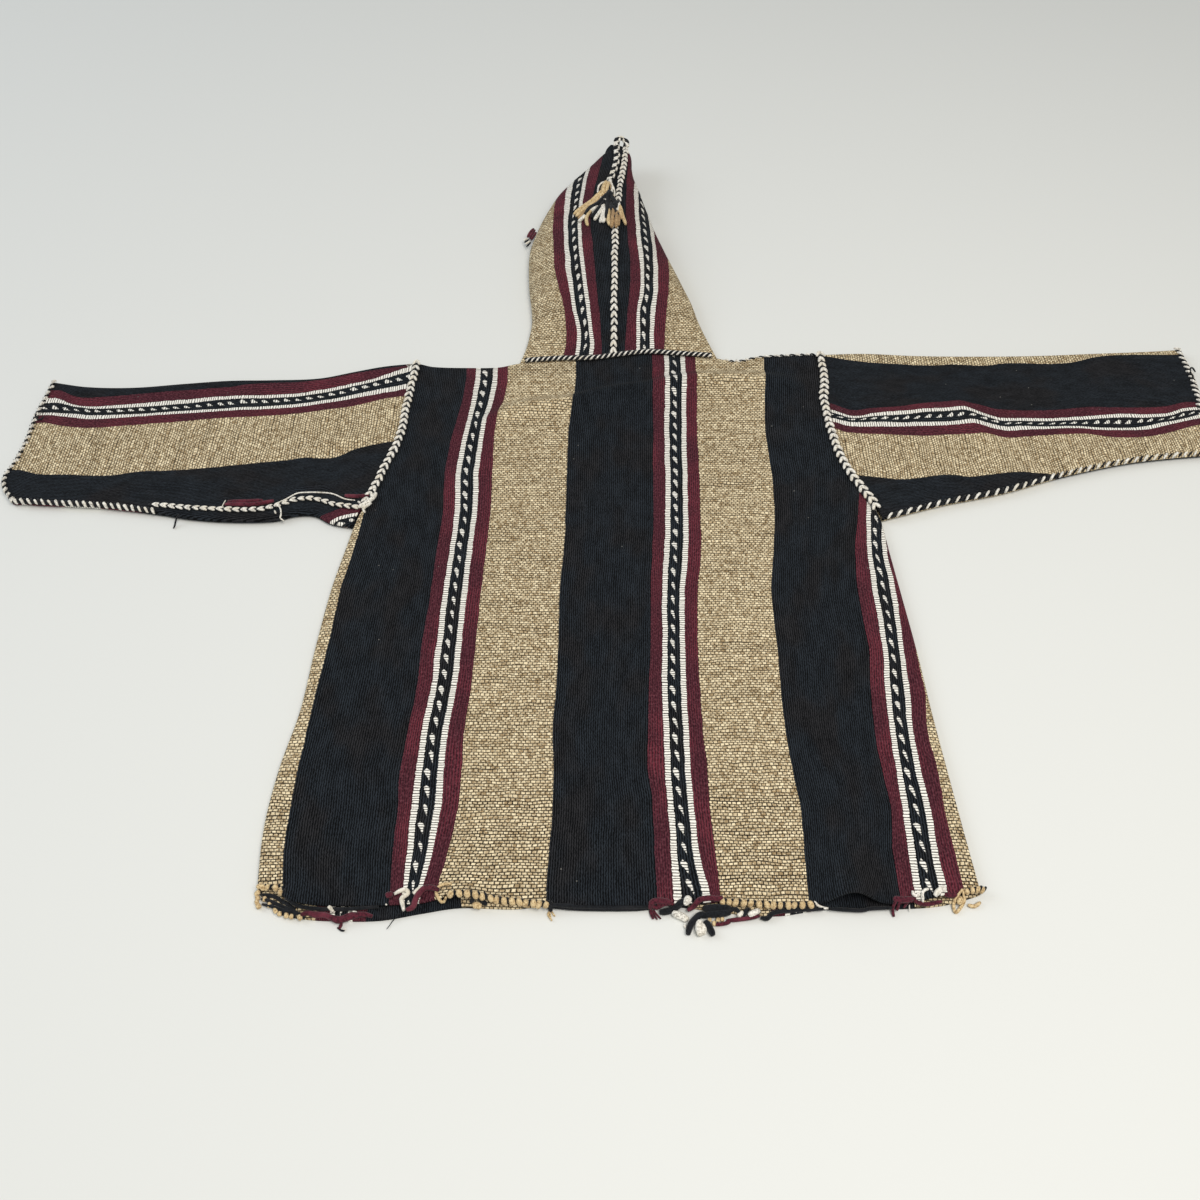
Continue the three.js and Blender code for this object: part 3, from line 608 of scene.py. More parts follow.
# Figures follow each other more closely on the sleeves, whose threads are counted from this
# place along the weave.
FIGURE = 0.0178
SLEEVE_FIGURE = 0.0124
SLEEVE_WEFT = 5
FIGURE_LEAN = 0.24
FIGURE_HALF_WIDTH = 0.0026
HEM_SHADE_FROM = -0.352
HEM_SHADE_TO = -0.2
# Rows that were beaten less, by place and half height.
DARK_ROWS = ((-0.25, 0.004), (-0.2555, 0.003), (-0.281, 0.0035), (-0.322, 0.006))

ADD = {"operation": "ADD"}
SUBTRACT = {"operation": "SUBTRACT"}
MULTIPLY = {"operation": "MULTIPLY"}
MULTIPLY_ADD = {"operation": "MULTIPLY_ADD"}
SMOOTH = {"interpolation_type": "SMOOTHSTEP"}

wool_cloth = bpy.data.materials.new("handwoven_striped_wool")
wool_cloth.use_nodes = True
tree = wool_cloth.node_tree
shader = tree.nodes["Principled BSDF"]
weave = node(tree, "UVMap", {"uv_map": "weave"}, {})[0]

# Hand tension lets the warp wander slowly, every pick pulls its edges a little, and the picks
# are beaten down unevenly. Each is so many waves to the metre, and so many metres.
DRIFTS = (
    ((38, 38, 1), (0.0022, 0, 0)),
    ((430, 430, 1), (0.0019, 0.0004, 0)),
    ((30, 90, 1), (0, 0.006, 0)),
)
at_thread = weave
for waves, size in DRIFTS:
    stretched = node(tree, "VectorMath", MULTIPLY, (weave, waves))[0]
    drift = node(tree, "TexNoise", {}, {0: stretched, "Scale": 1.0, "Detail": 2.0})[1]
    drift = node(tree, "VectorMath", SUBTRACT, (drift, (0.5, 0.5, 0.5)))[0]
    at_thread = node(tree, "VectorMath", MULTIPLY_ADD, (drift, size, at_thread))[0]
threads = node(tree, "SeparateXYZ", {}, (at_thread,))
warp, weft = threads[0], threads[1]
place = node(tree, "Math", {"operation": "FLOORED_MODULO"}, (warp, REPEAT))[0]

# What else is uneven, in waves to the metre across and along: stray hairs, patches of deeper
# dye, nap that is rubbed up or down, mottled spinning, flecks in the yarn, slubs that run with
# the weft, and the grain of single fibres.
UNEVEN = {
    "hair": (900, 350),
    "patch": (24, 14),
    "rubbed": (110, 45),
    "mottle": (230, 150),
    "fleck": (620, 420),
    "slub": (32, 230),
    "long_slub": (5, 55),
    "grain": (430, 760),
}
uneven = {}
for name, (across, along) in UNEVEN.items():
    stretched = node(tree, "VectorMath", MULTIPLY, (weave, (across, along, 1)))[0]
    uneven[name] = node(tree, "TexNoise", {}, {0: stretched, "Scale": 1.0, "Detail": 2.0})[0]

# Which stripe a thread is in: red stands for maroon, green for white, blue for tan and clear for
# the figured stripe.
STRIPE_ORDER = (
    (0, (0, 0, 0, 1)),
    (BLACK_END, (1, 0, 0, 1)),
    (FIRST_WHITE, (0, 1, 0, 1)),
    (FIGURED_START, (0, 0, 0, 0)),
    (FIGURED_END, (0, 1, 0, 1)),
    (SECOND_MAROON, (1, 0, 0, 1)),
    (TAN_START, (0, 0, 1, 1)),
)
part = node(tree, "Math", MULTIPLY, (place, 1 / REPEAT))[0]
stripes = tree.nodes.new("ShaderNodeValToRGB")
stripes.color_ramp.interpolation = "CONSTANT"
bands = stripes.color_ramp.elements
for number, (start, mark) in enumerate(STRIPE_ORDER):
    band = bands[number] if number < 2 else bands.new(start / REPEAT)
    band.position = start / REPEAT
    band.color = mark
tree.links.new(part, stripes.inputs[0])
is_maroon, is_white, is_tan = node(tree, "SeparateColor", {}, (stripes.outputs[0],))
is_figured = node(tree, "Math", SUBTRACT, (1.0, stripes.outputs[1]))[0]

# Ribs of the warp, with painted shade in the grooves between them and painted light on their crests,
# and fibres that stand off them.
turn = node(tree, "Math", MULTIPLY, (warp, 2 * math.pi / RIB))[0]
wave = node(tree, "Math", {"operation": "SINE"}, (turn,))[0]
rib = node(tree, "MapRange", SMOOTH, (wave, -0.9, 0.7))[0]
furry = node(tree, "Math", MULTIPLY, (uneven["hair"], 0.85))[0]
rib_light = node(tree, "Math", MULTIPLY_ADD, (rib, 0.5, furry))[0]
rib_light = node(tree, "Math", MULTIPLY_ADD, (uneven["rubbed"], 0.6, rib_light))[0]
lit = node(tree, "MapRange", SMOOTH, (rib_light, 0.68, 1.42))[0]
faded = node(tree, "MapRange", SMOOTH, (uneven["patch"], 0.45, 0.65))[0]
nap = node(tree, "MixRGB", {}, (faded, linear("2A3037"), linear("2D2D30")))[0]
# The darkest colour here, and the maroon's darkest below, are painted shade in the grooves between
# ribs.
black_wool = node(tree, "MixRGB", {}, (lit, linear("030406"), nap))[0]
deep = node(tree, "MapRange", SMOOTH, (uneven["patch"], 0.4, 0.64))[0]
dyed = node(tree, "MixRGB", {}, (deep, linear("4E222D"), linear("6C2C38")))[0]
maroon_wool = node(tree, "MixRGB", {}, (lit, linear("30141C"), dyed))[0]
flecks = node(tree, "MapRange", {}, (uneven["fleck"], 0.45, 0.75, 0.0, 0.4))[0]
maroon_wool = node(tree, "MixRGB", {}, (flecks, maroon_wool, linear("8F5660")))[0]

# Rungs of white yarn, rounded, with a dark line where each meets the next.
half_turn = node(tree, "Math", MULTIPLY, (weft, math.pi / RUNG))[0]
wave = node(tree, "Math", {"operation": "SINE"}, (half_turn,))[0]
crest = node(tree, "Math", {"operation": "ABSOLUTE"}, (wave,))[0]
crest = node(tree, "Math", MULTIPLY_ADD, (uneven["fleck"], 0.4, crest))[0]
rung = node(tree, "MapRange", SMOOTH, (crest, 0.45, 0.85))[0]
bleached = node(tree, "MapRange", SMOOTH, (uneven["hair"], 0.3, 0.7))[0]
white_light = node(tree, "MixRGB", {}, (bleached, linear("EAE7DD"), linear("FFFDF6")))[0]
white_wool = node(tree, "MixRGB", {}, (rung, linear("4A4745"), white_light))[0]

# Figure: every so often a few picks float over. Each group is broad at its upper end and runs
# out in a point, which leans a little.
on_sleeve = node(tree, "Math", {"operation": "COMPARE"}, (weft, SLEEVE_WEFT, 1.0))[0]
more = 1 / SLEEVE_FIGURE - 1 / FIGURE
to_the_metre = node(tree, "Math", MULTIPLY_ADD, (on_sleeve, more, 1 / FIGURE))[0]
turns = node(tree, "Math", MULTIPLY, (weft, to_the_metre))[0]
number_of_figure = node(tree, "Math", {"operation": "FLOOR"}, (turns,))[0]
own = node(tree, "TexWhiteNoise", {"noise_dimensions": "1D"}, {"W": number_of_figure})[0]
along = node(tree, "Math", {"operation": "FRACT"}, (turns,))[0]
swell = node(tree, "MapRange", {}, (along, 0.08, 0.6))[0]
end = node(tree, "MapRange", {}, (along, 0.72, 0.88, 1.0, 0.0))[0]
outline = node(tree, "Math", MULTIPLY, (swell, end))[0]
size = node(tree, "MapRange", {}, (own, 0.0, 1.0, 0.7, 1.1))[0]
reach = node(tree, "Math", MULTIPLY, (outline, size))[0]
reach = node(tree, "Math", MULTIPLY, (reach, FIGURE_HALF_WIDTH))[0]
middle = (FIGURED_START + FIGURED_END) / 2 + FIGURE * FIGURE_LEAN * 0.45
off = node(tree, "Math", SUBTRACT, (place, middle))[0]
off = node(tree, "Math", MULTIPLY_ADD, (along, FIGURE * FIGURE_LEAN, off))[0]
shifted = node(tree, "MapRange", {}, (own, 0.0, 1.0, -0.0008, 0.0008))[0]
off = node(tree, "Math", ADD, (off, shifted))[0]
off = node(tree, "Math", {"operation": "ABSOLUTE"}, (off,))[0]
inside = node(tree, "Math", SUBTRACT, (reach, off))[0]
inside = node(tree, "MapRange", SMOOTH, (inside, 0.0, 0.0007))[0]
floating = node(tree, "Math", MULTIPLY, (inside, rung))[0]
figured_wool = node(tree, "MixRGB", {}, (floating, black_wool, white_light))[0]

# Beads of the tan stripes: mottled yarn, with painted light where each bead rises. Slubs run with
# the weft, and the dark yarn between the beads shows more towards the hem, where the cloth was beaten
# less.
beads = node(tree, "TexBrick", {"offset": 0.5}, {
    "Vector": at_thread, "Scale": 1.0, "Mortar Size": 0.00066, "Mortar Smooth": 0.9,
    "Brick Width": BEAD_ACROSS, "Row Height": BEAD_ROW, "Bias": -0.1,
    "Color1": linear("FBE9C2"), "Color2": linear("A58A62"), "Mortar": linear("43341F"),
})
TAN_SHADES = (
    ("slub", 0.34, 0.56, 0.34, "8D7A5C"),
    ("long_slub", 0.34, 0.56, 0.2, "85704F"),
    ("mottle", 0.36, 0.6, 0.34, "6E5A3E"),
)
tan_wool = beads[0]
shaded = {}
for name, start, end, most, shade in TAN_SHADES:
    shaded[name] = node(tree, "MapRange", SMOOTH, (uneven[name], start, end, most, 0.0))[0]
    tan_wool = node(tree, "MixRGB", {}, (shaded[name], tan_wool, linear(shade)))[0]
bright = node(tree, "Math", MULTIPLY_ADD, (uneven["mottle"], 0.4, uneven["grain"]))[0]
tips = node(tree, "MapRange", SMOOTH, (bright, 0.68, 0.88, 0.0, 0.75))[0]
tan_wool = node(tree, "MixRGB", {}, (tips, tan_wool, linear("FAECCB")))[0]
near_hem = node(tree, "MapRange", {}, (weft, HEM_SHADE_FROM, HEM_SHADE_TO, 1.0, 0.6))[0]
near_hem = node(tree, "Math", MULTIPLY_ADD, (shaded["long_slub"], 1.4, near_hem))[0]
for row_at, half in DARK_ROWS:
    away = node(tree, "Math", SUBTRACT, (weft, row_at))[0]
    away = node(tree, "Math", {"operation": "ABSOLUTE"}, (away,))[0]
    thin = node(tree, "MapRange", SMOOTH, (away, 0.0, half, 0.75, 0.0))[0]
    near_hem = node(tree, "Math", ADD, (near_hem, thin))[0]
gaps = node(tree, "Math", MULTIPLY, (beads[1], near_hem))[0]
tan_wool = node(tree, "MixRGB", {"use_clamp": True}, (gaps, tan_wool, linear("2F281F")))[0]

STRIPES = (
    (is_maroon, maroon_wool),
    (is_white, white_wool),
    (is_figured, figured_wool),
    (is_tan, tan_wool),
)
colour = black_wool
for is_here, wool in STRIPES:
    colour = node(tree, "MixRGB", {}, (is_here, colour, wool))[0]

# Lint and short pale hairs that dark wool picks up.
specks = node(tree, "TexVoronoi", {}, {"Vector": weave, "Scale": 62})
small = node(tree, "MapRange", SMOOTH, (specks[0], 0.03, 0.055, 1.0, 0.0))[0]
chosen = node(tree, "SeparateColor", {}, (specks[1],))[0]
chosen = node(tree, "MapRange", {}, (chosen, 0.66, 0.68, 0.0, 0.45))[0]
lint = node(tree, "Math", MULTIPLY, (small, chosen))[0]
colour = node(tree, "MixRGB", {}, (lint, colour, linear("9C9A94")))[0]
tree.links.new(colour, shader.inputs["Base Color"])

fibres = node(tree, "Math", MULTIPLY, (uneven["hair"], 0.4))[0]
rounded = node(tree, "Math", MULTIPLY_ADD, (rib, 0.8, fibres))[0]
raised = node(tree, "Math", SUBTRACT, (1.0, beads[1]))[0]
raised = node(tree, "Math", MULTIPLY_ADD, (uneven["grain"], 0.4, raised))[0]
height = node(tree, "MixRGB", {}, (is_tan, rounded, raised))[0]
rungs = node(tree, "Math", ADD, (rung, 0.3))[0]
height = node(tree, "MixRGB", {}, (is_white, height, rungs))[0]
raised = node(tree, "Math", MULTIPLY, (is_figured, floating))[0]
height = node(tree, "MixRGB", {}, (raised, height, rungs))[0]
relief = node(tree, "Bump", {}, {"Strength": 0.6, "Distance": 0.0008, "Height": height})[0]
tree.links.new(relief, shader.inputs["Normal"])
shader.inputs["Roughness"].default_value = 0.95
shader.inputs["Specular IOR Level"].default_value = 0.12
shader.inputs["Sheen Weight"].default_value = 0.01
shader.inputs["Sheen Roughness"].default_value = 0.6

# Where a row starts from the hem and ends at the shoulders, and the share of the way up to which
# both layers have the same rows. That is the underarm, where their folds end.
HEM_LEVEL = -0.34
SHOULDER_LEVEL = 0.34
ROW_SPLIT = 0.61


def body_layer(rows, insets, hem, top, height, warp_at, flipped):
    """One layer of the body, with its rows from the hem to the shoulders."""
    width = insets[-1]
    part = insets / width
    hem_x = left_side(HEM_LEVEL) + part * (right_side(HEM_LEVEL) - left_side(HEM_LEVEL))
    top_x = left_side(SHOULDER_LEVEL)
    top_x = top_x + part * (right_side(SHOULDER_LEVEL) - left_side(SHOULDER_LEVEL))
    y = hem(hem_x) + rows[:, None] * (top(top_x) - hem(hem_x))
    x = left_side(y) + part * (right_side(y) - left_side(y))
    grid = np.stack([x, y, height(x, y)], axis=-1)
    return grid, warp_at(x, y), y, flipped


lower_rows = np.linspace(0, ROW_SPLIT, 104)
rolled_rows = ROLL * (1 - np.cos(np.linspace(np.pi / 2, 0, 6)))
near_top = 1 - rolled_rows / (SHOULDER_LEVEL - HEM_LEVEL)
back_rows = np.concatenate([lower_rows, np.linspace(ROW_SPLIT, near_top[0], 64)[1:], near_top[1:]])
front_rows = np.concatenate([lower_rows, np.linspace(ROW_SPLIT, 1, 26)[1:]])
body_width = float(right_side(0) - left_side(0))
body_insets = across_layer(body_width, 118)
body = cloth("body_cloth", [
    body_layer(back_rows, body_insets, back_hem, back_top, back_height, back_warp, False),
    body_layer(front_rows, body_insets, front_hem, front_top, front_height, front_warp, True),
], wool_cloth, "body")

# ---------------------------------------------------------------- sleeves
# Straight tubes of the same cloth, folded along the top and seamed along the underarm. The warp
# runs along the arm. They are set into the armholes and their cuffs are overcast, not hemmed.

# Clearance at the seams, what the curves need besides, and how far up the armhole the folded
# side of the body keeps the sleeve off.
SEAM_GAP = 0.0003
CURVE_EASE = 0.0006
FOLD_CLEARANCE = 0.034
LEFT_SLEEVE = {
    "side": -1,
    "armhole": left_side,
    "top": ((0.233, 0.331), (0.272, 0.325), (0.304, 0.316), (0.345, 0.304), (0.4, 0.301),
            (0.448, 0.3), (0.496, 0.295), (0.556, 0.288), (0.609, 0.289), (0.651, 0.297)),
    "bottom": ((0.273, 0.072), (0.3, 0.078), (0.318, 0.089), (0.339, 0.089), (0.36, 0.082),
               (0.407, 0.081), (0.45, 0.085), (0.479, 0.091), (0.538, 0.1), (0.596, 0.104),
               (0.64, 0.107)),
    "cuff": ((0.107, 0.64), (0.13, 0.657), (0.146, 0.66), (0.166, 0.656), (0.201, 0.654),
             (0.242, 0.655), (0.297, 0.651)),
}
RIGHT_SLEEVE = {
    "side": 1,
    "armhole": right_side,
    "top": ((0.24, 0.346), (0.293, 0.348), (0.355, 0.344), (0.424, 0.343), (0.493, 0.344),
            (0.564, 0.348), (0.634, 0.352), (0.668, 0.355)),
    "bottom": ((0.274, 0.082), (0.313, 0.095), (0.345, 0.105), (0.411, 0.122), (0.476, 0.145),
               (0.548, 0.165), (0.6, 0.174), (0.664, 0.181)),
    "cuff": ((0.181, 0.664), (0.225, 0.662), (0.267, 0.666), (0.307, 0.67), (0.355, 0.668)),
}
# The edges of the stripes on the upper side of each sleeve, in millimetres: distance out from
# the middle of the body and place along it. End of the black, of the maroon, of the white, of the
# figure and so on; the right sleeve starts one stripe earlier.
LEFT_STRIPES = (
    ((230, 325), (266, 321), (300, 313), (340, 301), (372, 296), (400, 295), (428, 292), (445, 288),
     (497, 282), (548, 276), (599, 270), (618, 272), (638, 282)),
    ((237, 328), (263, 313), (288, 299), (321, 288), (372, 276), (442, 273), (494, 267), (545, 260),
     (596, 256), (618, 259), (634, 267), (643, 270)),
    ((237, 317), (270, 302), (320, 283), (371, 271), (441, 268), (492, 260), (543, 254), (595, 252),
     (632, 261)),
    ((244, 294), (268, 287), (318, 270), (369, 259), (438, 253), (490, 248), (540, 243), (592, 241),
     (628, 245)),
    ((241, 285), (267, 278), (318, 264), (368, 254), (438, 249), (489, 244), (539, 239), (590, 234),
     (626, 239), (635, 241)),
    ((246, 273), (266, 268), (299, 256), (334, 249), (367, 244), (435, 238), (486, 231), (536, 225),
     (586, 220), (621, 223), (640, 228)),
    ((243, 199), (257, 196), (290, 186), (311, 174), (339, 174), (361, 169), (410, 162), (437, 158),
     (469, 154), (518, 151), (550, 145), (583, 146), (625, 148), (646, 154)),
)
RIGHT_STRIPES = (
    ((238, 344), (264, 337), (296, 331), (346, 326), (371, 325), (391, 327), (430, 325), (460, 329),
     (500, 328), (532, 330), (566, 340), (592, 344)),
    ((243, 261), (266, 251), (288, 253), (317, 255), (347, 261), (378, 264), (405, 261), (433, 253),
     (456, 249), (477, 249), (507, 251), (536, 255), (565, 254), (593, 253), (624, 256), (647, 263)),
    ((243, 251), (265, 241), (287, 246), (316, 249), (353, 253), (376, 254), (397, 253), (417, 244),
     (437, 238), (474, 236), (517, 238), (562, 243), (598, 243), (620, 244), (644, 253), (662, 255)),
    ((243, 246), (265, 236), (287, 241), (316, 243), (353, 247), (376, 248), (397, 247), (417, 239),
     (437, 233), (474, 231), (517, 233), (562, 237), (598, 237), (620, 239), (644, 248), (662, 250)),
    ((243, 237), (264, 231), (285, 232), (328, 231), (371, 231), (400, 233), (428, 226), (451, 225),
     (471, 223), (513, 223), (556, 220), (585, 223), (616, 230), (639, 236), (658, 243)),
    ((243, 230), (263, 223), (326, 223), (370, 225), (399, 226), (426, 218), (469, 218), (512, 220),
     (540, 217), (569, 217), (598, 220), (630, 229), (656, 236)),
    ((242, 221), (256, 213), (296, 210), (338, 207), (367, 209), (410, 210), (430, 205), (452, 206),
     (496, 210), (524, 210), (551, 204), (579, 204), (610, 212), (634, 220), (653, 226)),
    ((259, 146), (279, 143), (299, 140), (313, 140), (342, 145), (362, 146), (379, 143), (397, 146),
     (434, 151), (453, 148), (473, 146)),
)
LEFT_PLACES = (BLACK_END, FIRST_WHITE, FIGURED_START, FIGURED_END, SECOND_MAROON, TAN_START, REPEAT)
RIGHT_PLACES = (0, *LEFT_PLACES)
LEFT_SLEEVE_FOLDS = (
    (-0.25, 0.205, -0.35, 0.178, 0.009, 0.00221),
    (-0.262, 0.18, -0.372, 0.156, 0.008, -0.0017),
    (-0.3, 0.296, -0.42, 0.285, 0.009, 0.00153),
    (-0.33, 0.24, -0.47, 0.214, 0.012, -0.00136),
    (-0.42, 0.13, -0.56, 0.12, 0.009, 0.00136),
    (-0.5, 0.196, -0.632, 0.176, 0.012, 0.00153),
    (-0.56, 0.262, -0.64, 0.25, 0.01, -0.00136),
    (-0.3, 0.128, -0.352, 0.122, 0.007, 0.00238),
)
RIGHT_SLEEVE_FOLDS = (
    (0.262, 0.305, 0.33, 0.268, 0.009, 0.00204),
    (0.256, 0.25, 0.34, 0.238, 0.009, -0.00187),
    (0.33, 0.3, 0.43, 0.32, 0.014, -0.00136),
    (0.385, 0.296, 0.418, 0.19, 0.01, 0.00238),
    (0.428, 0.3, 0.442, 0.2, 0.012, -0.00204),
    (0.48, 0.18, 0.58, 0.2, 0.01, 0.00153),
    (0.53, 0.29, 0.64, 0.27, 0.013, 0.0017),
    (0.56, 0.226, 0.65, 0.214, 0.009, -0.00153),
)


def sleeve_plan(sleeve, along, up):
    """Place on a sleeve, from the armhole (0) to the cuff (1) and from the lower fold (0) to the
    upper one (1), with the sleeve's width there."""
    side = sleeve["side"]
    top, bottom, cuff = curve(sleeve["top"]), curve(sleeve["bottom"]), curve(sleeve["cuff"])

    def armhole(y):
        beside_fold = CLOTH / 2 * (1 - eased(y, UNDERARM, UNDERARM + FOLD_CLEARANCE))
        return side * sleeve["armhole"](y) + SEAM_GAP + CURVE_EASE + beside_fold

    arm_top, arm_bottom = sleeve["top"][0][1], sleeve["bottom"][0][1]
    cuff_top, cuff_bottom = sleeve["cuff"][-1], sleeve["cuff"][0]
    out_bottom = armhole(arm_bottom) + along * (cuff_bottom[1] - armhole(arm_bottom))
    out_top = armhole(arm_top) + along * (cuff_top[1] - armhole(arm_top))
    bow_arm = armhole(arm_bottom + up * (arm_top - arm_bottom))
    bow_arm = bow_arm - armhole(arm_bottom) - up * (armhole(arm_top) - armhole(arm_bottom))
    bow_cuff = cuff(cuff_bottom[0] + up * (cuff_top[0] - cuff_bottom[0]))
    bow_cuff = bow_cuff - cuff_bottom[1] - up * (cuff_top[1] - cuff_bottom[1])
    out = out_bottom + up * (out_top - out_bottom) + bow_arm + along * (bow_cuff - bow_arm)
    low, high = bottom(out_bottom), top(out_top)
    return side * out, low + up * (high - low), high - low


def sleeve_height(x, y, inset, folds):
    small = 0.5 * unevenness(x, y) + soft_folds(x, y, folds)
    return upper_height(inset) + small * eased(inset, *FOLD_EASE)


def sleeve_layer(sleeve, upper, rows, inner, stripes, places, folds):
    along = rows[:, None]
    width = sleeve_plan(sleeve, along, 0.5)[2]
    insets = np.vstack([across_layer(float(each), inner) for each in width[:, 0]])
    up = insets / width
    x, y, wide = sleeve_plan(sleeve, along, up)
    inset = wide * np.minimum(up, 1 - up)
    out = np.abs(x)
    edges = [-curve(metres(stripe))(out) for stripe in stripes]
    if upper:
        warp = between(-y, edges, places)
        grid = np.stack([x, y, sleeve_height(x, y, inset, folds)], axis=-1)
    else:
        at_fold = between(-y[:, -1:], [edge[:, -1:] for edge in edges], places)
        warp = at_fold - wide * (1 - up)
        grid = np.stack([x, y, lower_height(inset)], axis=-1)
    return grid, warp, SLEEVE_WEFT + sleeve["side"] * x, upper == (sleeve["side"] > 0)


sleeve_rows = np.linspace(0, 1, 100)
left_sleeve = cloth("left_sleeve_cloth", [
    sleeve_layer(LEFT_SLEEVE, True, sleeve_rows, 52, LEFT_STRIPES, LEFT_PLACES, LEFT_SLEEVE_FOLDS),
    sleeve_layer(LEFT_SLEEVE, False, sleeve_rows, 52, LEFT_STRIPES, LEFT_PLACES, LEFT_SLEEVE_FOLDS),
], wool_cloth, "sleeve_left")
right_sleeve = cloth("right_sleeve_cloth", [
    sleeve_layer(RIGHT_SLEEVE, True, sleeve_rows, 52, RIGHT_STRIPES, RIGHT_PLACES, RIGHT_SLEEVE_FOLDS),
    sleeve_layer(RIGHT_SLEEVE, False, sleeve_rows, 52, RIGHT_STRIPES, RIGHT_PLACES, RIGHT_SLEEVE_FOLDS),
], wool_cloth, "sleeve_right")

# ---------------------------------------------------------------- hood
# One oblong of the same cloth, folded over at the top into a point and seamed up the middle of
# the back. It lies with that seam upwards and its face opening underneath.

# Place along the hood, left side, seam, right side, height of the crown, lift off the table and
# half width of what the face opening leaves underneath.
HOOD = (
    (0.34, -0.114, -0.003, 0.12, 0.0059, 0.0, 0.038),
    (0.362, -0.107, -0.003, 0.112, 0.011, 0.0, 0.046),
    (0.385, -0.103, -0.002, 0.105, 0.018, 0.0, 0.056),
    (0.409, -0.101, -0.002, 0.099, 0.025, 0.0, 0.06),
    (0.435, -0.103, -0.002, 0.094, 0.03, 0.0, 0.06),
    (0.463, -0.106, -0.001, 0.086, 0.034, 0.0, 0.056),
    (0.494, -0.108, -0.001, 0.077, 0.037, 0.0, 0.053),
    (0.524, -0.109, 0.0, 0.068, 0.039, 0.0, 0.047),
    (0.549, -0.108, 0.0, 0.061, 0.04, 0.0, 0.036),
    (0.578, -0.102, 0.001, 0.053, 0.04, 0.001, 0.0),
    (0.6, -0.096, 0.003, 0.048, 0.04, 0.003, 0.0),
    (0.628, -0.086, 0.006, 0.041, 0.04, 0.006, 0.0),
    (0.655, -0.074, 0.008, 0.035, 0.04, 0.01, 0.0),
    (0.684, -0.055, 0.011, 0.027, 0.04, 0.014, 0.0),
    (0.712, -0.034, 0.013, 0.024, 0.04, 0.017, 0.0),
    (0.732, -0.021, 0.014, 0.024, 0.039, 0.019, 0.0),
    (0.745, -0.012, 0.013, 0.021, 0.036, 0.022, 0.0),
)
HOOD_TIP = (-0.004, 0.7575, 0.035)
CROWN_ROUNDNESS = 2.3
CROWN_COLUMNS = 44
EDGE_ROLL = 0.0046
NECK_BLEND = 0.096
HOOD_WEFT = 9
# Edges of the stripes to both sides of the seam, in millimetres: place along the hood and
# distance from its middle line. End of the black, of the maroon, of the white, of the figure, of
# the second white and of the second maroon.
HOOD_STRIPES_LEFT = (
    ((343, -17), (383, -18), (434, -22), (493, -26), (527, -28), (563, -31), (622, -28), (654, -24),
     (688, -19), (726, -14)),
    ((343, -27), (360, -25), (388, -28), (421, -31), (448, -34), (479, -37), (514, -40), (549, -42),
     (604, -41), (636, -39), (674, -35), (732, -29)),
    ((343, -32), (362, -31), (408, -35), (434, -38), (464, -41), (497, -44), (529, -46), (565, -47),
     (605, -46), (637, -44), (672, -41), (724, -35)),
    ((343, -43), (362, -41), (384, -42), (408, -47), (435, -50), (465, -53), (497, -55), (531, -58),
     (568, -59), (608, -57), (651, -55), (710, -49)),
    ((343, -48), (362, -46), (384, -47), (409, -52), (436, -55), (466, -60), (498, -62), (533, -64),
     (570, -65), (611, -65), (658, -63), (695, -60)),
    ((343, -62), (363, -59), (402, -61), (427, -65), (453, -70), (485, -75), (523, -77), (560, -79),
     (593, -79), (637, -77), (674, -73)),
)
HOOD_STRIPES_RIGHT = (
    ((350, 10), (371, 11), (395, 13), (420, 15), (448, 17), (475, 18), (494, 18), (520, 16), (555, 15),
     (593, 14), (629, 15), (665, 16), (698, 18)),
    ((350, 24), (383, 24), (405, 25), (429, 28), (452, 30), (479, 30), (521, 27), (558, 26), (597, 25),
     (633, 25), (699, 27)),
    ((350, 28), (383, 29), (407, 29), (434, 34), (464, 35), (496, 35), (523, 33), (552, 32), (584, 31),
     (622, 31), (679, 33)),
    ((350, 39), (384, 40), (408, 41), (436, 45), (482, 46), (513, 46), (544, 45), (579, 43), (651, 42)),
    ((350, 45), (379, 45), (403, 47), (431, 50), (452, 52), (484, 52), (517, 51), (550, 50), (618, 49)),
    ((350, 57), (384, 59), (410, 61), (439, 64), (473, 66), (531, 66), (564, 65)),
)
HOOD_PLACES = (BLACK_END, FIRST_WHITE, FIGURED_START, FIGURED_END, SECOND_MAROON, TAN_START)
HOOD_FOLDS = (
    (-0.094, 0.47, -0.052, 0.38, 0.01, 0.00272),
    (-0.098, 0.55, -0.07, 0.44, 0.009, -0.00204),
    (-0.04, 0.42, -0.02, 0.35, 0.009, -0.00221),
    (0.03, 0.4, 0.052, 0.35, 0.009, 0.00204),
    (0.07, 0.47, 0.078, 0.38, 0.01, -0.00204),
    (0.036, 0.6, 0.052, 0.48, 0.009, 0.0017),
    (-0.06, 0.66, -0.084, 0.56, 0.01, 0.00204),
    (-0.03, 0.7, -0.05, 0.6, 0.008, -0.00153),
)

hood_left, hood_seam, hood_right, hood_crown, hood_lift = [curve(HOOD, i) for i in range(1, 6)]
hood_face = straight_line([(row[0], row[6]) for row in HOOD])


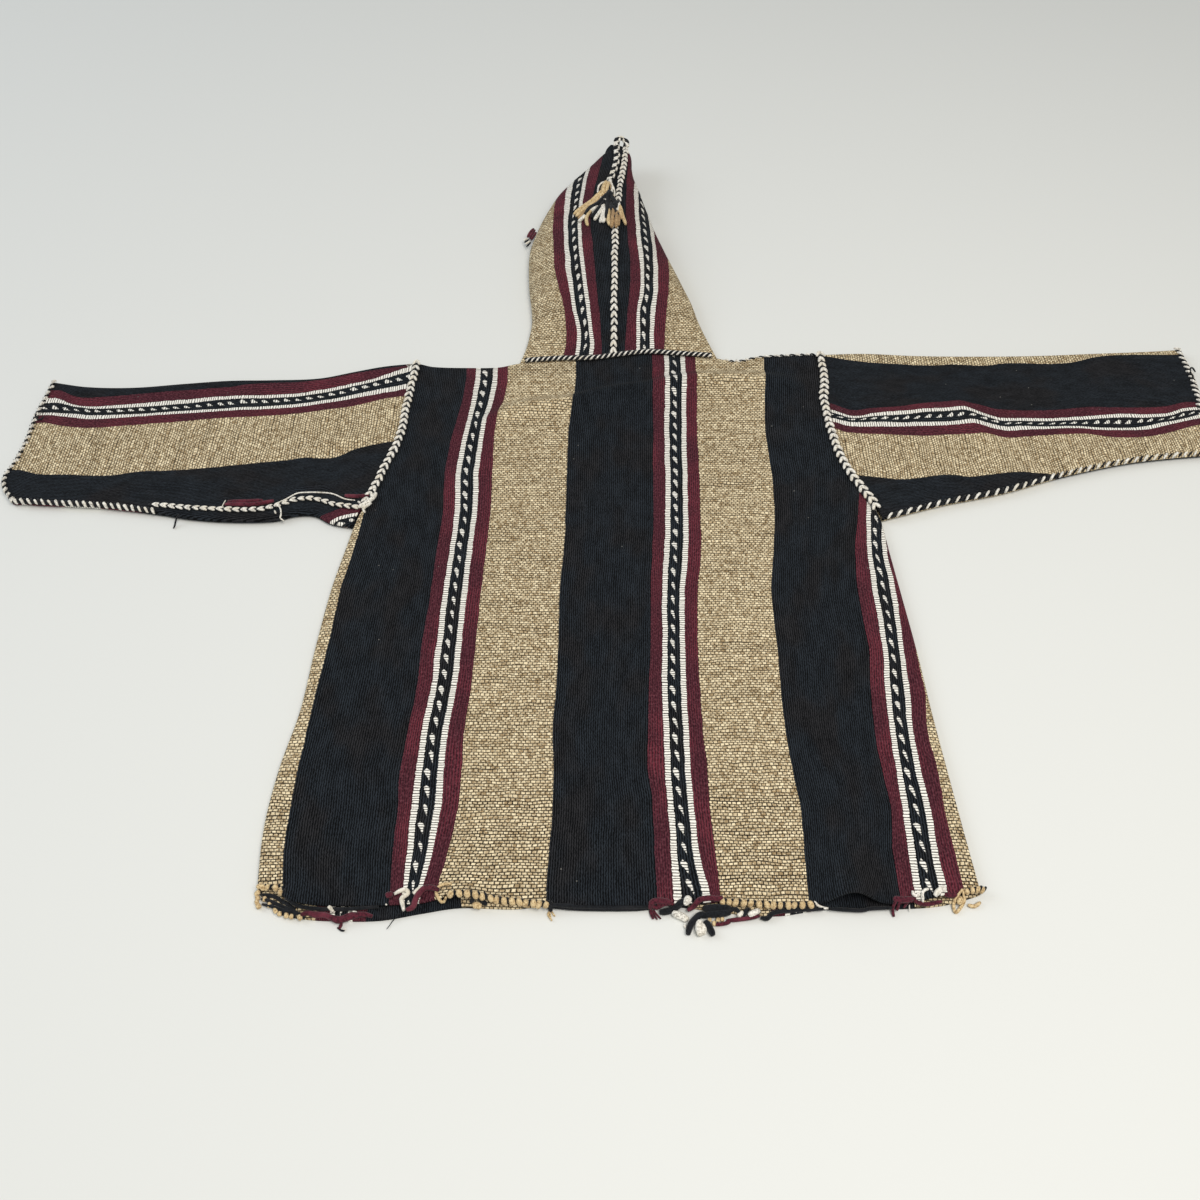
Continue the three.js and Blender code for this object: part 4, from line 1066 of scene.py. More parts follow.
def hood_half(side, rows):
    """One half of the hood, from the seam round the side to the face edge, with the places of
    its warp."""
    direction = -1 if side == "left" else 1
    y = rows[:, None]
    flooring = LAID + np.maximum(hood_lift(y), 0)
    edge_x = (hood_left if side == "left" else hood_right)(y)
    seam_x = hood_seam(y) + direction * SEAM_GAP / 2
    crown = hood_crown(y)
    roll = np.minimum(EDGE_ROLL, (crown - flooring) * 0.42)
    waist = flooring + roll
    arc = np.linspace(0, np.pi / 2, CROWN_COLUMNS)
    over_x = seam_x + (edge_x - seam_x) * np.sin(arc) ** (2 / CROWN_ROUNDNESS)
    over_z = waist + (crown - waist) * np.maximum(np.cos(arc), 0) ** (2 / CROWN_ROUNDNESS)
    fade = np.sin(arc * 2) ** 0.5
    over_z = over_z + soft_folds(over_x, y + 0 * over_x, HOOD_FOLDS) * fade
    turn = np.linspace(0, np.pi / 2, 9)[1:]
    round_x = edge_x - direction * roll * (1 - np.cos(turn))
    round_z = waist - roll * np.sin(turn)
    face = hood_face(y)
    start = edge_x - direction * roll
    end = hood_seam(y) + direction * face
    under = np.linspace(0, 1, 22)[1:]
    under_x = start + under * (end - start)
    under_z = flooring + 0 * under_x
    x = np.hstack([over_x, round_x, under_x])
    z = np.hstack([over_z, round_z, under_z])
    beneath = np.hstack([0 * over_x, 0 * round_x + 1, 0 * under_x + 1])
    pull = 1 - eased(y, HOOD[0][0], HOOD[0][0] + NECK_BLEND)
    above_edge = back_top(x) + SEAM_GAP + CURVE_EASE
    below_edge = front_top(x) + SEAM_GAP + 2 * CURVE_EASE
    target = np.where(beneath > 0, below_edge, above_edge)
    placed = y + pull * (target - HOOD[0][0])
    stripes = HOOD_STRIPES_LEFT if side == "left" else HOOD_STRIPES_RIGHT
    edges = [direction * curve(metres(stripe))(placed) for stripe in stripes]
    seen = between(direction * x, edges, HOOD_PLACES)
    # Past the last stripe edge, the warp follows the cloth itself round the side and under.
    steps = np.hypot(np.diff(x, axis=1), np.diff(z, axis=1))
    length = np.hstack([0 * y, np.cumsum(steps, axis=1)])
    last = np.argmax(direction * x > edges[-1], axis=1)[:, None]
    last = np.where((direction * x > edges[-1]).any(axis=1)[:, None], last, CROWN_COLUMNS - 1)
    at_last = np.take_along_axis(seen, last, axis=1)
    beyond = at_last + length - np.take_along_axis(length, last, axis=1)
    column = np.arange(x.shape[1])[None, :]
    warp = np.where(column > last, beyond, seen)
    grid = np.stack([x, placed, z], axis=-1)
    return grid, warp


hood_rows = np.linspace(HOOD[0][0], HOOD[-1][0], 104)
hood_layers = []
tip = np.array(HOOD_TIP)
for side in ("left", "right"):
    grid, warp = hood_half(side, hood_rows)
    cap = []
    for share in np.linspace(0, 1, 7)[1:]:
        ring = tip + (grid[-1] - tip) * math.cos(share * math.pi / 2)
        ring[:, 1] = grid[-1][:, 1] + (tip[1] - grid[-1][:, 1]) * math.sin(share * math.pi / 2)
        cap.append(ring)
    grid = np.concatenate([grid, np.array(cap)])
    warp = np.concatenate([warp, np.array([warp[-1]] * len(cap))])
    hood_layers.append((grid, warp, HOOD_WEFT + grid[:, :, 1], side == "left"))
hood = cloth("hood_cloth", hood_layers, wool_cloth, "hood")

# ---------------------------------------------------------------- plaited seams
# The armholes, the neck, the hood's seam and the left underarm are closed by hand with thick
# black and white yarn. Each stitch crosses the one before it, so the seam looks like a plait.

WHITE_YARN, BLACK_YARN, TAN_YARN, BROWN_YARN, MAROON_YARN = range(5)
HOOD_SEAM_WIDTH = 0.0096
HOOD_SEAM_ENDS = (0.349, 0.738)
HOOD_SEAM_ASIDE = 0.002
HOOD_SEAM_TURNS_AT = 0.64
NECK_SEAM_ENDS = (-0.106, 0.112)
ARMHOLE_SEAM_START = 0.098
# Distance out from the middle of the body, and place along it.
LEFT_UNDERARM = (
    (0.276, 0.097),
    (0.298, 0.101),
    (0.318, 0.108),
    (0.34, 0.108),
    (0.358, 0.099),
    (0.38, 0.093),
    (0.424, 0.094),
    (0.452, 0.096),
    (0.49, 0.1),
)
ABOVE_CLOTH = CLOTH / 2 + 0.0003


def even_line(points, step):
    """Points at even steps along a line through points."""
    fine = route_through(points, 6)
    gone = travelled(fine)
    at = np.linspace(0, gone[-1], max(2, round(gone[-1] / step) + 1))
    return np.stack([np.interp(at, gone, fine[:, axis]) for axis in range(3)], axis=-1)


def plaited_seam(line, width, pitch, thickness, seed):
    """Stitches in pairs along a line. Both arms of a pair run from the edges to the middle, and
    pairs of white yarn and of black yarn take turns."""
    chance = np.random.default_rng(seed)
    stations = even_line(line, pitch)
    aside, above = sides_of(stations, (0, 0, 1))
    ahead = np.cross(above, aside)
    parts = []
    for number in range(len(stations)):
        white = number % 2 == 0
        for direction in (-1, 1):
            size = width / 2 * (1 + chance.uniform(-0.18, 0.16)) * (1 if white else 0.9)
            reach = pitch * (1.75 + chance.uniform(-0.2, 0.2))
            thick = thickness * (1 if white else 0.68) * (1 + chance.uniform(-0.12, 0.1))
            part = np.linspace(0, 1, 7)[:, None]
            across = direction * (size - 0.9 * thick) * (1 - 0.98 * part)
            lift = thick * (0.5 + 0.75 * np.sin(np.pi * (0.1 + 0.7 * part)))
            offset = across * aside[number] + (reach * (part - 0.5)) * ahead[number]
            route = stations[number] + offset + lift * above[number]
            swell = thick * np.array([0.6, 0.95, 1.1, 1.12, 1.05, 0.85, 0.5])
            parts.append((*yarn(route, swell, 7), WHITE_YARN if white else BLACK_YARN))
    return parts


def twisted_seam(line, width, lead, thickness, seed):
    """Two white and two black yarns that turn round a line."""
    stations = even_line(line, lead / 9)
    aside, above = sides_of(stations, (0, 0, 1))
    chance = np.random.default_rng(seed)
    turn = travelled(stations) / lead * 2 * np.pi
    turn = turn + 0.5 * np.sin(travelled(stations) / 0.031)
    parts = []
    for strand in range(4):
        angle = turn + strand * np.pi / 2
        out = (width / 2 - thickness) * (1 + 0.1 * np.sin(turn * 0.37 + strand))
        lay = np.cos(angle)[:, None] * aside + 0.72 * np.sin(angle)[:, None] * above
        route = stations + out[:, None] * lay + 0.72 * width / 2 * above
        thick = thickness * (1 + chance.uniform(-0.06, 0.06)) * (0.92 if strand % 2 == 0 else 1.2)
        parts.append((*yarn(route, thick, 6), strand % 2))
    return parts


def armhole_line(sleeve):
    """The line of an armhole seam on top of the cloth, from the underarm to the shoulder."""
    arm_top, arm_bottom = sleeve["top"][0][1], sleeve["bottom"][0][1]
    y = np.linspace(ARMHOLE_SEAM_START, arm_top - 0.003, 34)
    x = sleeve["armhole"](y)
    on_body = [back_height(x - sleeve["side"] * inset, y) for inset in (0.001, 0.003, 0.005)]
    up = (y - arm_bottom) / (arm_top - arm_bottom)
    wide = sleeve_plan(sleeve, 0.0, 0.5)[2]
    on_sleeve = upper_height(wide * np.minimum(up, 1 - up))
    z = np.max(np.vstack([*on_body, on_sleeve]), axis=0) + ABOVE_CLOTH
    return np.stack([x, y, z], axis=-1)


seam_yarns = [white_yarn, black_yarn]
seam_y = np.linspace(HOOD_SEAM_ENDS[0], HOOD_SEAM_ENDS[1], 40)
seam_aside = HOOD_SEAM_ASIDE * eased(seam_y, HOOD_SEAM_TURNS_AT, HOOD_SEAM_ENDS[1])
seam_x = hood_seam(seam_y) + seam_aside
hood_seam_line = np.stack([seam_x, seam_y, hood_crown(seam_y) + ABOVE_CLOTH], axis=-1)

neck_x = np.linspace(*NECK_SEAM_ENDS, 24)
neck_z = 0 * neck_x + HOOD[0][4] + ABOVE_CLOTH + SEAM_GAP
neck_seam_line = np.stack([neck_x, back_top(neck_x), neck_z], axis=-1)

underarm_out = np.linspace(LEFT_UNDERARM[0][0], LEFT_UNDERARM[-1][0], 26)
underarm_y = curve(LEFT_UNDERARM)(underarm_out)
underarm_inset = underarm_y - curve(LEFT_SLEEVE["bottom"])(underarm_out)
underarm_z = upper_height(underarm_inset) + ABOVE_CLOTH + 0.0004
underarm_line = np.stack([-underarm_out, underarm_y, underarm_z], axis=-1)

# Name, the solid it stands for, how it is worked, its line, width, length of a stitch or turn,
# radius of the yarn and seed.
SEAMS = (
    ("left_armhole_plait", "armhole_braid_left", plaited_seam, armhole_line(LEFT_SLEEVE),
     0.0104, 0.0045, 0.0016, 3),
    ("right_armhole_plait", "armhole_braid_right", plaited_seam, armhole_line(RIGHT_SLEEVE),
     0.011648, 0.0046, 0.0018, 5),
    ("hood_seam_plait", "hood_seam_braid", plaited_seam, hood_seam_line,
     HOOD_SEAM_WIDTH, 0.0052, 0.00165, 7),
    ("neck_seam_plait", "neck_braid", twisted_seam, neck_seam_line,
     0.0062, 0.0128, 0.0016, 9),
    ("left_underarm_plait", "sleeve_seam_braid", plaited_seam, underarm_line,
     0.0072, 0.0043, 0.00135, 11),
)
for name, node_name, worked, line, width, pitch, thickness, seed in SEAMS:
    seam = piece(name, worked(line, width, pitch, thickness, seed), seam_yarns)
    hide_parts(node_name)

# ---------------------------------------------------------------- overcast edges
# Cuffs, underarm edges and one shoulder are whipped over by hand with the same two yarns. A few
# of their ends were left hanging.

tan_yarn = woollen_yarn("undyed_tan_wool_yarn", "E6CFA2", "9A7C54", "C4A97E")
brown_yarn = woollen_yarn("undyed_brown_wool_yarn", "BF9F74", "6F5539", "94795A")
maroon_yarn = woollen_yarn("dyed_maroon_wool_yarn", "5F2533", "2C1119", "7A3A47")
all_yarns = [white_yarn, black_yarn, tan_yarn, brown_yarn, maroon_yarn]


def whipped_edge(line, inward, pitch, reach, lean, thickness, seed):
    """Stitches over an edge, from on top of the cloth round to its underside. White and black
    yarn take turns."""
    chance = np.random.default_rng(seed)
    stations = even_line(line, pitch)
    ahead = unit(np.gradient(stations, axis=0))
    into = np.broadcast_to(unit(np.array(inward, float)), stations.shape)
    parts = []
    for number, at in enumerate(stations):
        white = number % 2 == 0
        thick = thickness * (1 if white else 0.75) * (1 + chance.uniform(-0.15, 0.15))
        far = reach * (1 + chance.uniform(-0.25, 0.25))
        slant = lean * (1 + chance.uniform(-0.3, 0.3))
        inset = np.array([1, 0.55, 0, -0.35, -0.15])[:, None] * far
        drop = np.array([0.4, 0.9, 0.6, -1.2, -2.4])[:, None] * thick
        shift = np.array([0.5, 0.25, -0.1, -0.3, -0.5])[:, None] * slant
        route = at + inset * into[number] + shift * ahead[number] + drop * np.array((0, 0, 1))
        swell = thick * np.array([0.6, 1, 1.05, 0.9, 0.5])
        parts.append((*yarn(route, swell, 6), WHITE_YARN if white else BLACK_YARN))
    return parts


def sleeve_surface(sleeve, x, y):
    """Top of the cloth of a sleeve at a place."""
    out = np.abs(x)
    inset = np.minimum(y - curve(sleeve["bottom"])(out), curve(sleeve["top"])(out) - y)
    return upper_height(np.maximum(inset, 0.0012)) + CLOTH / 2


def cuff_line(sleeve):
    y = np.linspace(sleeve["cuff"][0][0] + 0.002, sleeve["cuff"][-1][0] - 0.002, 20)
    x = sleeve["side"] * (curve(sleeve["cuff"])(y) - 0.0006)
    return np.stack([x, y, sleeve_surface(sleeve, x, y)], axis=-1)


def fold_line(sleeve, start, end):
    """The lower edge of a sleeve, between two distances out from the middle of the body."""
    out = np.linspace(start, end, 24)
    y = curve(sleeve["bottom"])(out) + 0.0004
    x = sleeve["side"] * out
    return np.stack([x, y, sleeve_surface(sleeve, x, y + 0.001)], axis=-1)


SHOULDER_STITCHES = (0.13, 0.232)
shoulder_x = np.linspace(*SHOULDER_STITCHES, 16)
shoulder_y = back_top(shoulder_x)
shoulder_z = back_height(shoulder_x, shoulder_y - 0.002) + CLOTH / 2
shoulder_line = np.stack([shoulder_x, shoulder_y, shoulder_z], axis=-1)
# Name, line, way in from the edge, spacing, reach, slant, radius of the yarn and seed.
WHIPPED = (
    ("left_cuff_stitches", cuff_line(LEFT_SLEEVE), (1, 0, 0), 0.0046, 0.0036, 0.002, 0.0018, 21),
    ("right_cuff_stitches", cuff_line(RIGHT_SLEEVE), (-1, 0, 0), 0.0041, 0.0056, 0.005, 0.0015, 22),
    ("left_underarm_stitches", fold_line(LEFT_SLEEVE, 0.488, 0.637), (0, 1, 0), 0.0037, 0.003,
     0.0036, 0.0015, 23),
    ("right_underarm_stitches", fold_line(RIGHT_SLEEVE, 0.284, 0.66), (0, 1, 0), 0.0056, 0.003,
     0.0056, 0.0014, 24),
    ("right_shoulder_stitches", shoulder_line, (0, -1, 0), 0.006, 0.0026, 0.008, 0.0011, 25),
)
for name, line, inward, pitch, reach, lean, thickness, seed in WHIPPED:
    stitches = whipped_edge(line, inward, pitch, reach, lean, thickness, seed)
    edge = piece(name, stitches, seam_yarns)

# ---------------------------------------------------------------- thread ends at the sleeves
# Knots, floating yarns and loose ends where the seams were begun and finished off. At the left
# underarm the next stripes of the cloth show beside the seam.

# Yarn, its radius and the places that it passes over, all in millimetres.
UNDERARM_ENDS = (
    (WHITE_YARN, 0.8, ((-358.9, 104), (-350.2, 109.8), (-340.9, 117.6), (-328.8, 119.3),
     (-314.6, 119.1), (-301.9, 117.1), (-288.5, 109.8), (-277.7, 107.9))),
    (MAROON_YARN, 2.4, ((-413.1, 100.2), (-401.2, 100.2), (-387.1, 99.7), (-373.5, 102.1),
     (-362.5, 105.5))),
    (MAROON_YARN, 2.4, ((-410.6, 103.6), (-391.4, 104), (-374.1, 105.5))),
    (MAROON_YARN, 2.2, ((-289.1, 113.7), (-278.3, 112.7), (-263.3, 113.7))),
    (WHITE_YARN, 0.8, ((-360.4, 101.1), (-354.6, 95.8), (-352.1, 87.3), (-352.3, 82.5),
     (-348.5, 80.7))),
    (WHITE_YARN, 0.9, ((-359.7, 92), (-357.6, 87.7))),
    (WHITE_YARN, 0.6, ((-414.3, 107.9), (-415.4, 103.1), (-416.1, 97.8))),
    (BLACK_YARN, 0.9, ((-458.5, 86.7), (-462.1, 81), (-463.9, 74.5))),
    (WHITE_YARN, 2.3, ((-268.2, 100.7), (-262.9, 103.6), (-258.1, 109.9), (-256.4, 116.7))),
    (WHITE_YARN, 1.7, ((-270.5, 96.8), (-264.8, 95.9), (-259.6, 102.1))),
    (WHITE_YARN, 1.3, ((-274.1, 105.5), (-269.8, 102.1))),
    (WHITE_YARN, 1.2, ((-267.5, 93.5), (-264.4, 88.7))),
)
CUFF_ENDS = (
    (BLACK_YARN, 1.0, ((677.7, 318.1), (675.8, 322.3), (670.8, 319.3), (667.8, 312.8), (668.1, 306.3),
     (667.7, 296.4))),
    (BLACK_YARN, 0.8, ((-646.1, 242.2), (-651.2, 245.5), (-653.7, 241.1), (-652.8, 235.6),
     (-648.9, 231.2), (-645.3, 231.8), (-644, 236.1))),
)


def loose_yarns(rows, height):
    """Yarns that lie on what is at the places they pass over, given in millimetres."""
    parts = []
    for number, (finish, radius, places) in enumerate(rows):
        flat_route = route_through([(x / 1000, y / 1000, 0) for x, y in places], 4)
        radius = radius / 1000
        flat_route[:, 2] = height(flat_route[:, 0], flat_route[:, 1]) + 0.8 * radius
        flat_route[:, 2] += 0.15 * radius * (number % 3)
        flat_route[:, 2] = np.maximum(flat_route[:, 2], 1.1 * radius)
        ends = np.minimum(np.linspace(0, 6, len(flat_route)), np.linspace(6, 0, len(flat_route)))
        swell = radius * (0.7 + 0.35 * np.minimum(ends, 1))
        parts.append((*yarn(flat_route, swell, 7), finish))
    return parts


# How far the left underarm's plait stands up, and the height of a cuff's top.
UNDERARM_PLAIT = 0.0016
CUFF_TOP = 0.0085


def left_arm_height(x, y):
    on_back = back_height(x, y) + CLOTH / 2
    on_cloth = np.where(x > left_side(y), on_back, sleeve_surface(LEFT_SLEEVE, x, y))
    from_plait = np.abs(y - curve(LEFT_UNDERARM)(-x))
    on_plait = UNDERARM_PLAIT * (1 - eased(from_plait, 0.002, 0.006))
    beside = y - curve(LEFT_SLEEVE["bottom"])(-x)
    return np.where(beside > 0, on_cloth + on_plait, on_cloth * eased(beside, -0.012, 0))


def cuff_height(x, y):
    """From the top of a cuff down to the table beyond it."""
    out = np.abs(x)
    right = curve(RIGHT_SLEEVE["cuff"])(y)
    left = curve(LEFT_SLEEVE["cuff"])(y)
    beyond = np.where(x > 0, out - right, out - left)
    return CUFF_TOP * (1 - eased(beyond, -0.001, 0.014))


ENDS = (
    ("left_underarm_ends", UNDERARM_ENDS, left_arm_height),
    ("cuff_ends", CUFF_ENDS, cuff_height),
)
for name, rows, height in ENDS:
    ends = piece(name, loose_yarns(rows, height), all_yarns)

# ---------------------------------------------------------------- corner of the face edge
# The stitched border of the face opening comes out from under the left side of the hood.

UNDER_HOOD = 0.0062
FACE_CORNER = (
    (MAROON_YARN, 1.7, ((-106.4, 600.2), (-111, 591.2), (-113.6, 581.7))),
    (MAROON_YARN, 1.7, ((-104.6, 596.8), (-108.8, 586.7), (-110.5, 578.4))),
    (MAROON_YARN, 1.7, ((-102.8, 591.2), (-106.3, 581.2), (-108.7, 575.1))),
    (WHITE_YARN, 1.3, ((-118.5, 575.1), (-116, 577.3), (-113.4, 578.4))),
    (BLACK_YARN, 1.2, ((-117.4, 570.6), (-114.5, 572.9), (-111.4, 575.6))),
    (WHITE_YARN, 1.3, ((-115.6, 566.2), (-112.8, 569.5), (-110, 572.9))),
    (BLACK_YARN, 1.1, ((-114.1, 561.3), (-111.3, 566.2), (-109.2, 570.1))),
)


def under_hood(x, y):
    return 0 * x + UNDER_HOOD


face_corner = piece("face_edge_corner", loose_yarns(FACE_CORNER, under_hood), all_yarns)

# ---------------------------------------------------------------- hem
# The hem is the end of the weaving. Its warp ends turn back in blunt tan loops, in rolls of
# maroon and black, and in knots and tails where the white ones were tied off.

# Layer, first and last place across, number of loops and radius of their yarn. Each loop has a
# profile of places along the body and heights, from on the cloth to past its edge.
TAN_LOOPS = (
    ("back", -0.2977, -0.2808, 4, 0.0021),
    ("front", -0.3004, -0.2648, 8, 0.0019),
    ("back", -0.1399, -0.0614, 14, 0.0025),
    ("back", 0.0814, 0.1517, 13, 0.0024),
    ("back", 0.2823, 0.2971, 4, 0.0019),
)
LOOP_PROFILES = {
    "back": ((0.001, 0.0003), (0.0004, 0.0009), (-0.0006, 0.0006), (-0.0013, -0.001),
             (-0.0008, -0.003)),
    "front": ((0.0016, 0.0008), (0.0006, 0.001), (-0.0004, 0.0008), (-0.0012, 0.0004),
              (-0.0016, 0.0001)),
}
LOOP_SWELL = np.array([0.85, 1, 1.08, 1, 0.7])
BETWEEN_LOOPS = 0.0012
HEM_ENDS_LEFT = (
    # The first three black yarns are partly the black edge rolled into the corner and partly painted
    # shade: dark yarn filling the cavity under the back's hem, which lies in shade.
    (BLACK_YARN, 1.6, ((-298.5, -334.5), (-288, -336), (-279, -341), (-268, -347.5))),
    (BLACK_YARN, 1.5, ((-297.5, -338), (-288, -341), (-278, -345.5), (-266, -350))),
    (BLACK_YARN, 1.4, ((-296.5, -342), (-286, -345.5), (-275, -349), (-262, -351.5))),
    (BLACK_YARN, 1.6, ((-276, -341), (-262, -346.5), (-230, -347.5), (-200, -346))),
    (TAN_YARN, 2.1, ((-297.6, -329.9), (-301.1, -329.9))),
    (TAN_YARN, 2.1, ((-299.1, -332.8), (-302.3, -333.3))),
    (TAN_YARN, 2.1, ((-299.4, -336.5), (-302.7, -337.4))),
    (TAN_YARN, 2.1, ((-299.4, -340.1), (-302.5, -341.3))),
    (TAN_YARN, 2.2, ((-297.2, -343), (-300.6, -345.4))),
    (MAROON_YARN, 2.3, ((-262.7, -352.3), (-256.9, -350.8), (-250.5, -352.7), (-244.5, -352.3),
     (-237.3, -354.8), (-231.6, -357.4), (-223.7, -355.1), (-217.3, -352.8), (-210.6, -352),
     (-204.2, -353.7))),
    (MAROON_YARN, 1.8, ((-259.6, -349.8), (-249.9, -351.3), (-240.1, -353.3), (-230.3, -355.3),
     (-222.6, -352.1), (-217.3, -351.3))),
    (MAROON_YARN, 1.3, ((-231, -355.1), (-229, -359.4), (-230.9, -363.2))),
    (BLACK_YARN, 0.8, ((-232.2, -361.8), (-228.8, -364.1), (-225.9, -364.6))),
    (WHITE_YARN, 0.7, ((-227.4, -363.5), (-224.8, -362.9))),
    (WHITE_YARN, 1.7, ((-240.6, -346.1), (-238.5, -347.5), (-236.4, -349.6))),
    (WHITE_YARN, 1.0, ((-221.4, -349), (-217.5, -349.8))),
    (WHITE_YARN, 0.7, ((-194.3, -344.4), (-192.8, -344.8))),
    (WHITE_YARN, 1.8, ((-187.7, -336.5), (-182.9, -333.6), (-178.8, -332.6), (-176.4, -336),
     (-181, -339.9), (-180.4, -344), (-179, -349))),
    (WHITE_YARN, 1.8, ((-171.9, -336.3), (-168.9, -332.7), (-165.5, -330.4))),
    (MAROON_YARN, 2.5, ((-194.3, -338.6), (-191.9, -337.4), (-189, -336.8))),
    (MAROON_YARN, 2.4, ((-177.2, -348.6), (-173.3, -347), (-170.5, -344.2), (-168.3, -338.1),
     (-163.8, -332.2), (-159.1, -331.3), (-154.6, -332.7), (-151.1, -334.5))),
    (TAN_YARN, 1.3, ((-141.1, -329.2), (-145.6, -328.6), (-150.3, -329.6), (-153, -333.3),
     (-152.8, -337.4), (-150.3, -340.9), (-147.3, -341.5), (-144.7, -339.2))),
    (BLACK_YARN, 0.35, ((-180.9, -348.7), (-184.8, -353.3), (-188.4, -357.5), (-192.1, -362.9))),
)
HEM_ENDS_MIDDLE = (
    (BLACK_YARN, 2.0, ((-60, -344.6), (-30, -345.2), (0, -345.3), (23, -345.1))),
    (BLACK_YARN, 1.7, ((-58, -345.5), (-30, -346.4), (0, -346.6), (22, -346))),
    (BLACK_YARN, 2.0, ((-125.4, -341.3), (-120.4, -339), (-115, -341.3), (-111.9, -343.6))),
    (TAN_YARN, 2.7, ((-123, -345.4), (-119.8, -344.5), (-116.1, -346.2))),
    (BLACK_YARN, 1.8, ((-61.9, -342.2), (-60.1, -345.1), (-59, -348.6))),
    (TAN_YARN, 0.8, ((-59.6, -347.2), (-61.5, -350.4), (-59.8, -353.6), (-58.1, -356.1))),
    (TAN_YARN, 0.7, ((-58.8, -347.5), (-57.1, -350.4), (-55.7, -352.1))),
    (TAN_YARN, 0.7, ((-60.2, -347.8), (-59.2, -354.4))),
    (MAROON_YARN, 2.5, ((21.5, -346.4), (23.8, -343.2), (28.7, -342.4), (34.2, -342.9),
     (39.3, -344.1))),
    (MAROON_YARN, 2.0, ((23, -344.4), (27.3, -345.8), (32.8, -344.4), (38.9, -344.1))),
    (MAROON_YARN, 1.3, ((22.5, -345.1), (22.7, -349.5), (24.4, -354.7))),
    (MAROON_YARN, 0.8, ((24.9, -346.5), (27.3, -350.7), (30.7, -354.4))),
    (MAROON_YARN, 0.8, ((24, -346.9), (25.6, -351.5), (27.7, -355))),
    (BLACK_YARN, 2.8, ((29.6, -349.7), (36.7, -348.6), (45, -345.1), (50.4, -341.6))),
    (WHITE_YARN, 3.0, ((50.1, -344.8), (52.3, -342.2), (54.2, -339.3))),
    (MAROON_YARN, 2.3, ((52.5, -348.3), (58, -345.4), (62.9, -341.6), (69.8, -340.2), (76.6, -340.8),
     (81.1, -339.6))),
    (WHITE_YARN, 2.9, ((40.3, -349.7), (44.6, -352.3), (49.6, -354.6), (51.4, -357.1))),
    (WHITE_YARN, 2.3, ((42.9, -349.9), (46.4, -351.3), (50.1, -353.3))),
    (WHITE_YARN, 1.2, ((49.2, -359.8), (51, -362.4))),
    (BLACK_YARN, 2.7, ((51.9, -368.6), (53.8, -361.8), (57.6, -356.4), (63, -351.9), (68.4, -353.3))),
    (BLACK_YARN, 2.7, ((66.5, -357), (69.7, -362.7), (72.3, -369.4))),
    (WHITE_YARN, 3.1, ((62.4, -356.9), (61, -362.5), (62, -369.6))),
    (WHITE_YARN, 2.5, ((63.9, -359.8), (65, -364.1), (63.8, -368))),
    (BLACK_YARN, 3.0, ((65, -347.5), (76.5, -346.6), (87.7, -347.2))),
    (BLACK_YARN, 3.0, ((66.9, -351.8), (76.2, -351.5), (87.4, -350.7))),
    (TAN_YARN, 1.7, ((70.5, -354.1), (70, -357.3))),
    (TAN_YARN, 1.7, ((73.8, -356.7), (73.6, -360.7))),
    (TAN_YARN, 1.7, ((77.3, -353.9), (76.8, -357.3))),
    (TAN_YARN, 1.7, ((80.8, -353.3), (80.3, -357))),
    (TAN_YARN, 1.0, ((67, -346.5), (69.5, -346.5))),
    (TAN_YARN, 1.0, ((71.4, -346.3), (73.9, -346.3))),
    (TAN_YARN, 1.0, ((75.8, -346.3), (78.2, -346.3))),
    (TAN_YARN, 1.0, ((80.1, -346.3), (82.6, -346.3))),
    (TAN_YARN, 1.0, ((69.1, -348.8), (71.5, -348.8))),
    (TAN_YARN, 1.0, ((73.4, -348.8), (75.9, -348.8))),
    (TAN_YARN, 1.0, ((77.8, -348.8), (80.2, -348.8))),
    (TAN_YARN, 1.0, ((82.1, -348.8), (84.6, -348.8))),
    (TAN_YARN, 1.0, ((71.1, -351.4), (73.5, -351.4))),
    (TAN_YARN, 1.0, ((75.4, -351.4), (77.9, -351.4))),
    (TAN_YARN, 1.0, ((79.8, -351.4), (82.2, -351.4))),
    (MAROON_YARN, 1.6, ((74.3, -359.8), (81.2, -359), (86.9, -357.5))),
)
